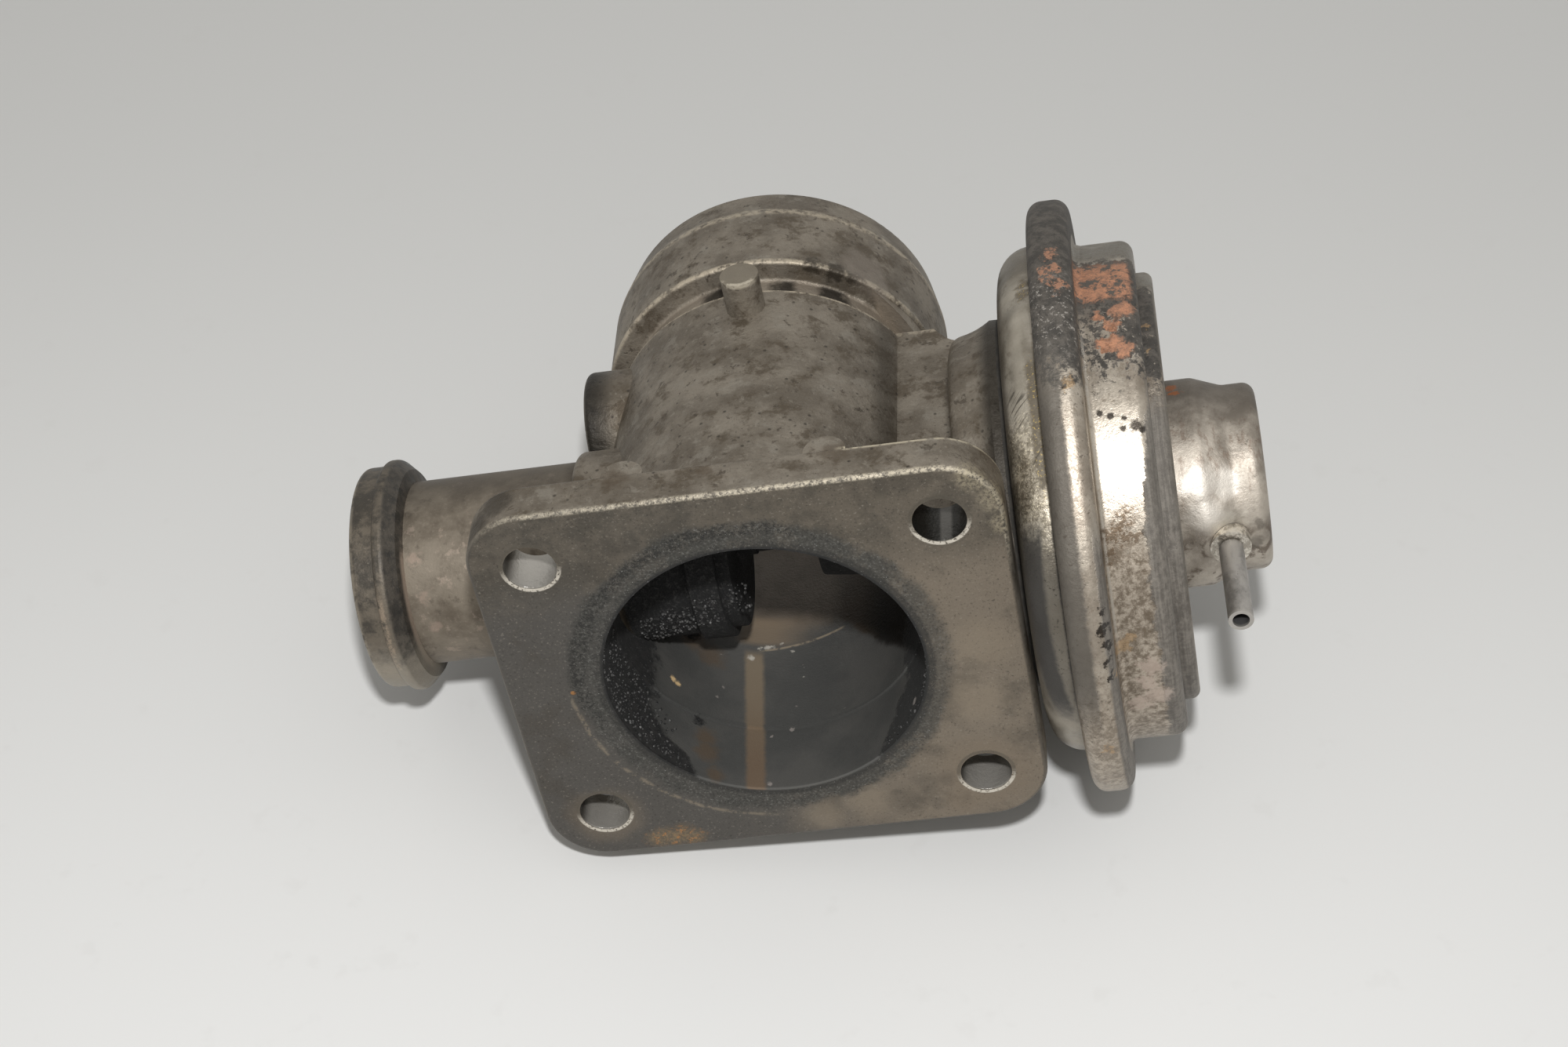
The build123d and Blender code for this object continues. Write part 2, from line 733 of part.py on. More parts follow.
with BuildPart() as piston_cup:
    with BuildSketch(valve_half_plane):
        with BuildLine():
            Polyline(
                (piston_x, stem_spigot_radius + press_gap),
                (piston_x, piston_radius),
                (piston_x + piston_skirt, piston_radius),
                (piston_x + piston_skirt, piston_radius - piston_thickness),
                (washer_x, piston_radius - piston_thickness),
                (washer_x, stem_spigot_radius + press_gap),
                close=True,
            )
        make_face()
    revolve(axis=valve_axis)
piston_cup.part.label = "piston_cup"
export_step(piston_cup.part, "parts/piston_cup.step")

with BuildPart() as lock_washer:
    with BuildSketch(valve_plane.offset(washer_x)):
        Circle(washer_radius)
        Circle(stem_spigot_radius + thread_gap, mode=Mode.SUBTRACT)
    extrude(amount=washer_thickness)
lock_washer.part.label = "lock_washer"
export_step(lock_washer.part, "parts/lock_washer.step")

with BuildPart() as stem_nut:
    with BuildSketch(valve_plane.offset(nut_x)):
        RegularPolygon(nut_width / 2, 6, major_radius=False)
        Circle(stem_spigot_radius + press_gap, mode=Mode.SUBTRACT)
    extrude(amount=nut_height)
stem_nut.part.label = "stem_nut"
export_step(stem_nut.part, "parts/stem_nut.step")

# ---- Return spring, its seat, end cap and vacuum nipple -----------------------------
# Wound wire with a closed ring of wire at each end.
with BuildPart() as return_spring:
    first_ring_x = spring_start_x + wire_radius
    last_ring_x = spring_end_x - wire_radius
    wound_length = last_ring_x - first_ring_x
    with BuildLine():
        coil = Helix(
            pitch=wound_length / spring_coils,
            height=wound_length,
            radius=spring_mean_radius,
            center=(first_ring_x, valve_axis_y, 0),
            direction=(1, 0, 0),
        )
    with BuildSketch(Plane(origin=coil @ 0, z_dir=coil % 0)):
        Circle(wire_radius)
    sweep(path=coil, is_frenet=True)
    for ring_x in (first_ring_x, last_ring_x):
        with BuildSketch(valve_half_plane):
            with Locations((ring_x, spring_mean_radius)):
                Circle(wire_radius)
        revolve(axis=valve_axis)
return_spring.part.label = "return_spring"
export_step(return_spring.part, "parts/return_spring.step")

with BuildPart() as spring_seat:
    with BuildSketch(valve_half_plane):
        with BuildLine():
            Polyline(
                (cap_inner_x - spring_seat_thickness, 0),
                (cap_inner_x - spring_seat_thickness - spring_seat_pilot, 0),
                (
                    cap_inner_x - spring_seat_thickness - spring_seat_pilot,
                    spring_mean_radius - wire_radius - spring_gap,
                ),
                (cap_inner_x - spring_seat_thickness, spring_mean_radius - wire_radius - spring_gap),
                (cap_inner_x - spring_seat_thickness, cap_inner_radius - cap_end_corner),
                (cap_inner_x, cap_inner_radius - cap_end_corner),
                (cap_inner_x, 0),
                close=True,
            )
        make_face()
    revolve(axis=valve_axis)
spring_seat.part.label = "spring_seat"
export_step(spring_seat.part, "parts/spring_seat.step")

# Drawn cup, held behind the shell's end wall by its flange.
with BuildPart() as end_cap:
    with BuildSketch(valve_half_plane):
        with BuildLine():
            Polyline(
                (cap_end_reach, 0),
                (cap_end_reach, cap_end_radius),
                (cap_neck_x, cap_end_radius),
                (cap_taper_x, cap_radius),
                (shell_floor_x, cap_radius),
                (shell_floor_x, cap_radius + cap_flange),
                (shell_floor_x - cap_wall, cap_radius + cap_flange),
                (shell_floor_x - cap_wall, cap_radius - cap_wall),
                (cap_taper_x, cap_radius - cap_wall),
                (cap_neck_x, cap_inner_radius),
                (cap_inner_x, cap_inner_radius),
                (cap_inner_x, 0),
                close=True,
            )
        make_face()
        fillet(vertices().group_by(Axis.X)[-1].sort_by(Axis.Y)[-1], cap_end_round)
        fillet(vertices().filter_by_position(Axis.X, cap_inner_x - press_gap, cap_inner_x + press_gap)
               .sort_by(Axis.Y)[-1], cap_end_corner)
        bend_corners = vertices().filter_by_position(Axis.X, cap_taper_x - press_gap, cap_neck_x + press_gap)
        fillet(bend_corners, cap_bend)
    revolve(axis=valve_axis)
    with BuildSketch(Plane.XZ.offset(-valve_axis_y)):
        with Locations((nipple_x, 0)):
            Circle(nipple_root_radius + press_gap)
    extrude(amount=cap_radius, mode=Mode.SUBTRACT)
end_cap.part.label = "end_cap"
export_step(end_cap.part, "parts/end_cap.step")

# Thin tube whose root is turned down to fit the collar and the cap.
with BuildPart() as vacuum_nipple:
    with BuildSketch(Plane.XZ.offset(-nipple_start_y)):
        with Locations((nipple_x, 0)):
            Circle(nipple_root_radius)
    extrude(amount=nipple_start_y - collar_end_y + nipple_shoulder)
    with BuildSketch(Plane.XZ.offset(nipple_shoulder - collar_end_y)):
        with Locations((nipple_x, 0)):
            Circle(nipple_radius)
    extrude(amount=collar_end_y - nipple_shoulder - nipple_tip_y)
    with BuildSketch(Plane.XZ.offset(-nipple_start_y)):
        with Locations((nipple_x, 0)):
            Circle(nipple_bore_radius)
    extrude(amount=nipple_length, mode=Mode.SUBTRACT)
vacuum_nipple.part.label = "vacuum_nipple"
export_step(vacuum_nipple.part, "parts/vacuum_nipple.step")

# Brazing collar, its foot shaped to sit on the cup.
with BuildPart() as nipple_collar:
    with BuildSketch(Plane.XZ.offset(-nipple_start_y)):
        with Locations((nipple_x, 0)):
            Circle(collar_radius)
            Circle(nipple_root_radius + press_gap, mode=Mode.SUBTRACT)
    extrude(amount=nipple_start_y - collar_end_y)
    with BuildSketch(valve_half_plane):
        with BuildLine():
            Polyline(
                (shell_end_x, 0),
                (shell_end_x, cap_radius + thread_gap),
                (cap_taper_x, cap_radius + thread_gap),
                (cap_neck_x, cap_end_radius + thread_gap),
                (cap_end_reach, cap_end_radius + thread_gap),
                (cap_end_reach, 0),
                close=True,
            )
        make_face()
    revolve(axis=valve_axis, mode=Mode.SUBTRACT)
nipple_collar.part.label = "nipple_collar"
export_step(nipple_collar.part, "parts/nipple_collar.step")
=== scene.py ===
# %% [markdown]
# # A used exhaust-gas recirculation valve
# The real valve is one aluminium casting with a pressed steel vacuum can on one side and a
# steel gas tube on the other. The solid model already has the right shapes, so this lesson
# adds what makes it look real: cast skin, soot, rust, rubbed metal, painted highlights and
# shade, a camera and light. model.glb gives every solid piece at its place, and nothing here
# moves or reshapes one.

import math

import bpy
from mathutils import Matrix, Vector


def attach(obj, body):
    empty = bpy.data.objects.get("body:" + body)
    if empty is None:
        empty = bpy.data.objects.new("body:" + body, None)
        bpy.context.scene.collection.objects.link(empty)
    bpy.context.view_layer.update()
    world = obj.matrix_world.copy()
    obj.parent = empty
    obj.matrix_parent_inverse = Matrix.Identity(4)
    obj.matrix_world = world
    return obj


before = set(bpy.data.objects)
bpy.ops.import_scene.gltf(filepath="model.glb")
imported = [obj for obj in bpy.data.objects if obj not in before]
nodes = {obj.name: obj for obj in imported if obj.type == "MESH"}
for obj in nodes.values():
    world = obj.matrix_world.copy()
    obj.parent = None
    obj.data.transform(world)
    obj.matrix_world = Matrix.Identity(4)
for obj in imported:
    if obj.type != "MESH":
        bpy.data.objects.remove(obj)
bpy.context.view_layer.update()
print("solid pieces:", len(nodes))

# %% [markdown]
# ## Camera
# A camera looks along its own -Z axis with +Y up. The viewing direction and the tilt of the
# horizon are known, so the three axes of the camera are built from them with cross products.
# A track-to constraint would aim it too, but it would leave the roll to be found by hand.

# %% Place the camera
LENS_MM = 65.48
SENSOR_WIDTH_MM = 36.0
CAMERA_ROLL_DEG = 13.0557
camera_place = Vector((0.067834, -0.333928, 0.301240))
view_direction = Vector((-0.13652, 0.76885, -0.62468)).normalized()

level_right = view_direction.cross(Vector((0.0, 0.0, 1.0))).normalized()
level_up = level_right.cross(view_direction)
roll = math.radians(CAMERA_ROLL_DEG)
camera_up = level_up * math.cos(roll) + level_right * math.sin(roll)
camera_right = view_direction.cross(camera_up)

camera_data = bpy.data.cameras.new("valve_camera")
camera_data.lens = LENS_MM
camera_data.sensor_width = SENSOR_WIDTH_MM
camera_data.clip_start = 0.01
camera = bpy.data.objects.new("valve_camera", camera_data)
turn = Matrix((camera_right, camera_up, -view_direction)).transposed().to_4x4()
camera.matrix_world = Matrix.Translation(camera_place) @ turn
bpy.context.scene.collection.objects.link(camera)
bpy.context.scene.camera = camera
print("camera right", [round(v, 3) for v in camera_right])

# %% [markdown]
# ## Nodes in a few words
# Every finish below is a Principled shader fed by patterns that are placed in millimetres.
# A small class keeps that short: each method adds a node or two and returns a socket. Where
# a mark sits on the real valve is written as a place, so it stays put when the camera moves.
# The class is built in three steps: a bench that adds nodes, then masks, then paints.

# %% Colours and a bench for shader nodes
def tone(red, green, blue):
    """A colour as it looks on a screen, 0 to 255, turned into the linear values of a shader."""
    return tuple((value / 255.0) ** 2.2 for value in (red, green, blue))


class Bench:
    """A Principled shader, and short ways to add nodes before it."""

    def __init__(self, name):
        self.material = bpy.data.materials.new(name)
        self.material.use_nodes = True
        self.tree = self.material.node_tree
        self.shader = self.tree.nodes["Principled BSDF"]
        coordinates = self.tree.nodes.new("ShaderNodeTexCoord")
        self.place = self.vector("SCALE", coordinates.outputs["Object"], scale=1000.0)
        split = self.tree.nodes.new("ShaderNodeSeparateXYZ")
        self.feed(split.inputs[0], self.place)
        self.x, self.y, self.z = split.outputs

    def feed(self, socket, value):
        if isinstance(value, bpy.types.NodeSocket):
            self.tree.links.new(value, socket)
        elif socket.type == "RGBA" and len(value) == 3:
            socket.default_value = (*value, 1.0)
        else:
            socket.default_value = value

    def node(self, kind, **inputs):
        made = self.tree.nodes.new(kind)
        for name, value in inputs.items():
            self.feed(made.inputs[name.replace("_", " ")], value)
        return made

    def set(self, **inputs):
        for name, value in inputs.items():
            self.feed(self.shader.inputs[name.replace("_", " ")], value)

    def vector(self, operation, first, second=None, scale=None):
        made = self.tree.nodes.new("ShaderNodeVectorMath")
        made.operation = operation
        self.feed(made.inputs[0], first)
        if second is not None:
            self.feed(made.inputs[1], second)
        if scale is not None:
            made.inputs["Scale"].default_value = scale
        return made.outputs["Value" if operation in ("DISTANCE", "LENGTH") else "Vector"]

    def join(self, x, y, z):
        return self.node("ShaderNodeCombineXYZ", X=x, Y=y, Z=z).outputs[0]

    def math(self, operation, first, second=0.0):
        made = self.tree.nodes.new("ShaderNodeMath")
        made.operation = operation
        self.feed(made.inputs[0], first)
        self.feed(made.inputs[1], second)
        return made.outputs[0]


# %% [markdown]
# ### Masks
# A mask is a number from 0 to 1 that says how much of a paint shows. fade turns a distance
# into a soft mask, band is a mask with two ends, both and either join masks, and push makes
# the edge of a mask ragged. Painted image masks would be easier to draw, but they blur close
# up and these don't.

# %% Masks
class Masks(Bench):
    """Masks made from distances and patterns."""

    def fade(self, value, start, end, low=0.0, high=1.0):
        """low where value is at start, high where it is at end, and a smooth step between."""
        made = self.tree.nodes.new("ShaderNodeMapRange")
        made.interpolation_type = "SMOOTHSTEP"
        self.feed(made.inputs["Value"], value)
        made.inputs["From Min"].default_value = start
        made.inputs["From Max"].default_value = end
        made.inputs["To Min"].default_value = low
        made.inputs["To Max"].default_value = high
        return made.outputs["Result"]

    def band(self, value, low, high, soft):
        """1 where value lies between low and high, with soft ends."""
        after_low = self.fade(value, low - soft, low + soft)
        return self.both(after_low, self.fade(value, high + soft, high - soft))

    def both(self, first, *others):
        """Where every one of the masks is 1."""
        for other in others:
            first = self.math("MULTIPLY", first, other)
        return first

    def either(self, first, *others):
        """Where any of the masks is 1."""
        for other in others:
            first = self.math("MAXIMUM", first, other)
        return first

    def push(self, value, pattern, amount):
        """value moved to and fro by a 0 to 1 pattern, which gives its edges a ragged outline."""
        centred = self.math("SUBTRACT", pattern, 0.5)
        return self.math("ADD", value, self.math("MULTIPLY", centred, amount))

    def patches(self, place, spots, soft=0.35):
        """1 inside any of the (x, y, z, radius) spots, 0 outside."""
        whole = None
        for x, y, z, radius in spots:
            away = self.vector("DISTANCE", place, (x, y, z))
            one = self.fade(away, radius * (1.0 + soft), radius * (1.0 - soft))
            whole = one if whole is None else self.math("MAXIMUM", whole, one)
        return whole


# %% [markdown]
# ### Paints and patterns
# over lays a paint on another through a mask, as a painter would. noise, cells and torn are
# the patterns; their sizes are in millimetres, so they keep their grain on every piece.

# %% Paints and patterns
class Finish(Masks):
    """One procedural finish: a Principled shader and the patterns that feed it."""

    def mix(self, factor, first, second):
        """A colour between first (factor 0) and second (factor 1)."""
        made = self.tree.nodes.new("ShaderNodeMix")
        made.data_type = "RGBA"
        self.feed(made.inputs["Factor"], factor)
        self.feed(made.inputs[6], first)
        self.feed(made.inputs[7], second)
        return made.outputs[2]

    def level(self, factor, first, second):
        """The same for plain numbers, such as roughness."""
        made = self.tree.nodes.new("ShaderNodeMix")
        self.feed(made.inputs["Factor"], factor)
        self.feed(made.inputs["A"], first)
        self.feed(made.inputs["B"], second)
        return made.outputs["Result"]

    def over(self, base, mask, paint, amount=1.0):
        """paint laid over base where mask is 1."""
        return self.mix(self.math("MULTIPLY", mask, amount), base, paint)

    def noise(
        self, size, detail=4.0, roughness=0.6, stretch=(1.0, 1.0, 1.0), shift=0.0, warp=0.0
    ):
        """Cloudy noise whose lumps are about size millimetres across."""
        moved = self.vector("ADD", self.place, (shift, shift * 1.7, shift * 2.3))
        pulled = self.vector("MULTIPLY", moved, stretch)
        scale = 1.0 / size
        made = self.node("ShaderNodeTexNoise", Vector=pulled, Scale=scale, Detail=detail)
        self.feed(made.inputs["Roughness"], roughness)
        self.feed(made.inputs["Distortion"], warp)
        return made.outputs["Fac"]

    def cells(self, size, shift=0.0):
        """Distance to the nearest of points scattered about size millimetres apart."""
        moved = self.vector("ADD", self.place, (shift, shift, shift))
        made = self.node("ShaderNodeTexVoronoi", Vector=moved, Scale=1.0 / size)
        return made.outputs["Distance"]

    def torn(self, amount, size, shift=0.0):
        """The place pushed about by noise, so that a mask drawn with it has a ragged edge."""
        moved = self.vector("ADD", self.place, (shift, shift, shift))
        scale = 1.0 / size
        made = self.node("ShaderNodeTexNoise", Vector=moved, Scale=scale, Detail=4.0)
        made.inputs["Roughness"].default_value = 0.65
        push = self.vector("SUBTRACT", made.outputs["Color"], (0.5, 0.5, 0.5))
        return self.vector("ADD", self.place, self.vector("SCALE", push, scale=4.0 * amount))

    def around(self):
        """Degrees round the valve axis from the top: 0 above it, 90 on the flange side of it."""
        ahead = self.math("SUBTRACT", VALVE_AXIS_MM, self.y)
        return self.math("MULTIPLY", self.math("ARCTAN2", ahead, self.z), 180.0 / math.pi)

    def off_valve_axis(self):
        """Distance from the valve axis, which lies along x."""
        ahead = self.math("SUBTRACT", self.y, VALVE_AXIS_MM)
        return self.vector("LENGTH", self.join(0.0, ahead, self.z))

    def bump(self, height, depth_mm, strength=1.0, normal=None):
        """A normal tilted by a height pattern; depth_mm is how high its white stands."""
        depth = depth_mm / 1000.0
        made = self.node("ShaderNodeBump", Height=height, Strength=strength, Distance=depth)
        if normal is not None:
            self.feed(made.inputs["Normal"], normal)
        return made.outputs["Normal"]


# %% Put a finish on solid pieces
def coat(names, finish):
    """Puts one finish on the named solid pieces."""
    for name in names:
        nodes[name].data.materials.clear()
        nodes[name].data.materials.append(finish.material)
    print(finish.material.name, "on", ", ".join(names))

# %% [markdown]
# ## Cast aluminium: the rough skin
# Old cast aluminium is grey-brown, with stains, fine grain and small dark pits. Image
# textures could show that, but they need an unwrapped mesh. Noise in four sizes does not: a
# broad cloud for the ground, stains over it, blots over those, and sand grain last. Each
# layer is a mask and a paint, laid on as a painter would.

# %% Where things are on the casting, in millimetres
MOUTH_RADIUS_MM = 25.8
VALVE_AXIS_MM = 35.0
HOLE_X_MM = 32.0
HOLE_Z_MM = 27.0
HOLE_RADIUS_MM = 4.2
FLANGE_CORNER_MM = 10.0
FLANGE_BACK_MM = 8.0
GROOVE_FRONT_MM = 66.0
GROOVE_BACK_MM = 71.0
NOSE_MM = 86.8
print("mouth of the duct", 2.0 * MOUTH_RADIUS_MM, "mm, bolt holes", 2.0 * HOLE_RADIUS_MM, "mm")


# %% Ground, stains and pits
def cast_ground(f):
    """The bare skin. Patterns that later steps share are kept on the finish itself."""
    f.cloud = f.noise(13.0, detail=4.0)
    f.stain = f.noise(5.5, detail=5.0, roughness=0.7, shift=31.0)
    f.blots = f.noise(2.3, detail=4.0, roughness=0.7, shift=57.0, warp=0.4)
    f.sand = f.noise(1.5, detail=4.0, roughness=0.65, shift=9.0)
    f.grain = f.noise(0.55, detail=3.0, roughness=0.75)
    f.wear = f.fade(f.noise(1.3, detail=4.0, roughness=0.7, shift=9.0), 0.36, 0.58)

    skin = f.mix(f.fade(f.cloud, 0.36, 0.64), tone(104, 96, 85), tone(138, 130, 118))
    skin = f.over(skin, f.fade(f.stain, 0.50, 0.64), tone(84, 74, 61), 0.8)
    skin = f.over(skin, f.fade(f.stain, 0.46, 0.34), tone(148, 142, 131), 0.5)
    skin = f.over(skin, f.fade(f.blots, 0.60, 0.66), tone(70, 62, 53), 0.7)
    skin = f.over(skin, f.fade(f.blots, 0.40, 0.33), tone(150, 143, 131), 0.4)
    skin = f.over(skin, f.fade(f.grain, 0.58, 0.80), tone(172, 164, 150), 0.45)
    skin = f.over(skin, f.fade(f.grain, 0.44, 0.26), tone(66, 60, 52), 0.5)
    pits = f.fade(f.cells(2.6, shift=4.0), 0.16, 0.06)
    return f.over(skin, pits, tone(44, 39, 33), 0.7)


# %% Painted highlights on the edges of the duct
def painted_edge_highlights(f, skin):
    """Painted highlight lines where the duct, the collar and its shoulder stand proud, broken by
    the wear pattern.
    """
    top = f.fade(f.z, 6.0, 20.0)
    duct_edge = f.both(
        f.band(f.y, GROOVE_FRONT_MM - 0.9, GROOVE_FRONT_MM, 0.25), f.fade(f.away, 27.3, 27.9), top
    )
    collar_edge = f.both(
        f.band(f.y, GROOVE_BACK_MM, GROOVE_BACK_MM + 1.0, 0.3), f.fade(f.away, 29.6, 30.1), top
    )
    shoulder = f.both(
        f.band(f.y, NOSE_MM - 0.8, NOSE_MM + 0.9, 0.5), f.fade(f.away, 29.5, 30.0)
    )
    # painted highlight along the three edges, broken by the wear pattern
    lines = f.either(duct_edge, collar_edge, f.math("MULTIPLY", shoulder, 0.75))
    return f.over(skin, f.both(lines, f.wear), tone(196, 184, 164), 0.85)


# %% Clip groove, painted lighter inside, with dark patches in it and chips along its edge
def groove_marks(f, skin):
    in_groove = f.both(
        f.band(f.y, GROOVE_FRONT_MM, GROOVE_BACK_MM - 0.2, 0.25), f.fade(f.away, 30.2, 29.4)
    )
    skin = f.over(skin, in_groove, tone(164, 153, 139), 0.8)
    # darker patches in the groove, beside the stop pin and to its right
    dark_groove_patches = f.patches(
        f.torn(1.2, 3.0), [(-5.5, 68.5, 27.5, 4.0), (6.0, 68.5, 27.5, 3.0), (14, 69.0, 23.0, 3.0)]
    )
    skin = f.over(skin, f.both(dark_groove_patches, in_groove), tone(36, 32, 27), 0.9)
    chipped = f.patches(
        f.torn(0.9, 1.6, shift=8.0),
        [(11, 71.5, 27.5, 1.5), (14.5, 71.3, 26.0, 1.7), (17.5, 71.2, 24.5, 1.3)],
    )
    skin = f.over(skin, chipped, tone(60, 54, 46), 0.9)
    pale = f.patches(f.torn(1.0, 3.0, shift=3.0), [(19, 75.0, 23.5, 4.2), (21.5, 71.5, 21.5, 2.6)])
    return f.over(skin, pale, tone(140, 131, 121), 0.55)


# %% Lug, web and the lumps behind the flange
def lug_and_web(f, skin):
    """The lug is painted dark for oil and for the shade it sits in; the web gets painted shade
    along its creases, and the lug's end face is wiped cleaner.
    """
    lug = f.both(
        f.patches(f.place, [(-31.0, 59.8, 7.0, 11.0)], soft=0.08), f.fade(f.x, -19.5, -21.5)
    )
    # painted shade and oil: the lug is painted dark
    oily = f.mix(f.fade(f.blots, 0.36, 0.60), tone(48, 45, 40), tone(32, 30, 27))
    skin = f.over(skin, lug, oily, 0.92)
    lug_end = f.both(lug, f.fade(f.x, -30.4, -30.9))
    wiped = f.mix(f.fade(f.stain, 0.38, 0.62), tone(112, 104, 93), tone(70, 65, 58))
    skin = f.over(skin, lug_end, wiped, 0.85)
    # painted shade in the crease between the web and the can
    web_crease_shade = f.both(f.fade(f.x, 38.0, 40.8), f.fade(f.away, 30.0, 33.0), f.fade(f.y, 7.5, 9.0))
    skin = f.over(skin, web_crease_shade, tone(38, 34, 28), 0.85)
    lumps = f.patches(
        f.torn(1.0, 3.0, shift=18.0),
        [(-17.0, 6.5, 37.0, 2.4), (17.5, 6.8, 37.0, 2.4), (-3.0, 6.0, 37.0, 1.3)],
    )
    skin = f.over(skin, lumps, tone(84, 72, 58), 0.6)
    # painted shade along the corner where the web meets the duct
    web_corner_shade = f.both(
        f.band(f.x, 20.5, 23.6, 1.2), f.band(f.y, 9.0, 65.0, 2.0), f.fade(f.z, 12.0, 16.0)
    )
    return f.over(skin, web_corner_shade, tone(62, 56, 47), 0.55)


# %% Stop pin, with a painted highlight broken by wear on the front of its end
def stop_pin(f, skin):
    from_pin = f.join(f.math("ADD", f.x, 0.3), f.math("SUBTRACT", f.y, 61.3), 0.0)
    pin = f.vector("LENGTH", from_pin)
    on_pin = f.both(f.fade(pin, 3.5, 3.35), f.fade(f.z, 28.5, 29.2))
    skin = f.over(skin, f.both(on_pin, f.fade(f.z, 34.2, 34.6)), tone(132, 124, 110), 0.8)
    # painted highlight on the front rim of the pin's end, broken by the wear pattern
    crescent = f.both(
        f.band(pin, 2.6, 3.5, 0.2), f.band(f.z, 34.1, 35.2, 0.3), f.fade(f.y, 60.5, 59.0), f.wear
    )
    return f.over(skin, crescent, tone(205, 196, 178), 0.9)


# %% [markdown]
# ## Flange face
# The face is machined flat, then stained by dust, oil and a gasket. Most of its marks have a
# cause, so they are placed by it: the soot ring follows the bore, the pale crescents follow
# the bolt holes, and the deposit sits where water stood at the lower edge.

# %% Dust over the machined face
def face_dust(f):
    f.dust = f.noise(11.0, detail=5.0, roughness=0.6, shift=77.0)
    f.specks = f.noise(0.38, detail=2.0, roughness=0.6, shift=12.0)
    f.cloudy = f.noise(5.0, detail=5.0, roughness=0.7, shift=63.0)
    f.high = f.fade(f.push(f.z, f.dust, 16.0), 13.0, 27.0)
    to_right = f.fade(f.push(f.x, f.dust, 45.0), -14.0, 26.0)
    face = f.mix(to_right, tone(84, 81, 77), tone(123, 113, 100))
    upper = f.mix(f.fade(f.cloudy, 0.40, 0.60), tone(80, 75, 67), tone(98, 91, 81))
    face = f.over(face, f.high, upper, 0.85)
    face = f.over(face, f.fade(f.dust, 0.52, 0.66), tone(74, 69, 62), 0.5)
    face = f.over(face, f.fade(f.specks, 0.60, 0.76), tone(160, 153, 141), 0.4)
    return f.over(face, f.fade(f.specks, 0.42, 0.26), tone(50, 47, 42), 0.6)


# %% Stains and deposits on the face
def face_stains(f, face):
    """Spots are (x, y, z, radius) in millimetres; noise tears their outlines."""
    ragged = f.torn(0.9, 4.0, shift=2.0)
    broken = f.fade(f.noise(2.2, detail=4.0, roughness=0.7, shift=44.0), 0.44, 0.56)
    gasket_arc = f.both(
        f.band(f.push(f.away, f.dust, 1.8), 31.5, 32.1, 0.3),
        f.fade(f.x, 0.0, -8.0),
        f.fade(f.z, 3.0, -4.0),
        broken,
    )
    face = f.over(face, gasket_arc, tone(146, 134, 116), 0.55)
    by_holes = f.patches(ragged, [(-32, 0, -28, 5.8), (32, 0, -27, 7.8), (27, 0, -33, 3.0)])
    face = f.over(face, by_holes, tone(124, 111, 95), 0.45)
    tan = [(35.2, 0, 1.0, 4.6), (32.6, 0, -10.5, 4.6), (12.0, 0, -31.0, 3.4), (4.0, 0, -33.0, 3.0)]
    face = f.over(face, f.patches(ragged, tan, soft=0.6), tone(142, 130, 113), 0.45)
    smudge = [(18.0, 0, -31.4, 2.6), (22.0, 0, -28.2, 2.2), (24.9, 0, -27.6, 1.6)]
    return f.over(face, f.patches(ragged, smudge, soft=0.6), tone(84, 78, 70), 0.4)


def face_deposit(f, face):
    """A dried crust at the lower edge: specks of three paints in one soft streak."""
    streak = [
        (-24.6, 0, -34.8, 1.5),
        (-23.3, 0, -34.3, 1.7),
        (-21.6, 0, -35.0, 1.6),
        (-20.0, 0, -34.6, 1.8),
        (-18.2, 0, -35.1, 1.5),
    ]
    crust = f.patches(f.torn(0.9, 4.0, shift=2.0), streak, soft=0.9)
    fine = f.fade(f.noise(0.45, detail=3.0, roughness=0.7, shift=51.0), 0.44, 0.62)
    coarse = f.fade(f.noise(0.9, detail=4.0, roughness=0.75, shift=37.0), 0.54, 0.60)
    face = f.over(face, crust, tone(122, 106, 82), 0.5)
    face = f.over(face, f.both(crust, fine), tone(156, 134, 102), 0.45)
    face = f.over(face, f.both(crust, coarse), tone(184, 128, 76), 0.7)
    return f.over(face, f.patches(f.place, [(-31.2, 0, 0.2, 0.42)]), tone(204, 140, 70), 0.9)


# %% Soot ring round the bore
def soot_ring(f, face):
    upper_left = f.both(f.fade(f.x, 20.0, -4.0), f.fade(f.z, -16.0, 4.0))
    wavy = f.push(f.push(f.away, f.dust, 5.0), f.sand, 2.4)
    reach = f.math("SUBTRACT", wavy, f.math("MULTIPLY", upper_left, 0.9))
    f.ring = f.both(f.fade(reach, 31.4, 29.2), f.fade(f.x, 34.0, 20.0, low=0.6))
    thick = f.both(f.ring, f.fade(f.cloudy, 0.62, 0.46, low=0.65))
    face = f.over(face, thick, tone(66, 65, 61), 0.92)
    face = f.over(face, f.both(f.ring, f.fade(f.specks, 0.54, 0.68)), tone(112, 111, 107), 0.5)
    face = f.over(face, f.both(f.ring, f.fade(f.specks, 0.46, 0.34)), tone(44, 43, 41), 0.5)
    lumpy = f.noise(0.5, detail=4.0, roughness=0.8, shift=21.0)
    crumbs = f.fade(f.push(lumpy, upper_left, 0.10), 0.50, 0.60)
    outer = f.band(f.push(f.away, f.dust, 3.0), 28.2, 31.4, 0.9)
    outer_ring = f.both(f.ring, outer, f.fade(f.x, 26.0, 8.0, low=0.15))
    face = f.over(face, f.both(outer_ring, crumbs), tone(36, 35, 33), 0.85)
    sooty_mouth = f.fade(f.push(f.away, crumbs, 1.5), 26.9, 26.3)
    face = f.over(face, sooty_mouth, tone(44, 43, 41), 0.7)
    glitter = f.fade(f.noise(0.26, detail=2.0, shift=3.0), 0.70, 0.77)
    glints = f.both(f.either(f.ring, f.math("MULTIPLY", f.high, 0.25)), glitter)
    return f.over(face, glints, tone(196, 196, 194), 0.65)


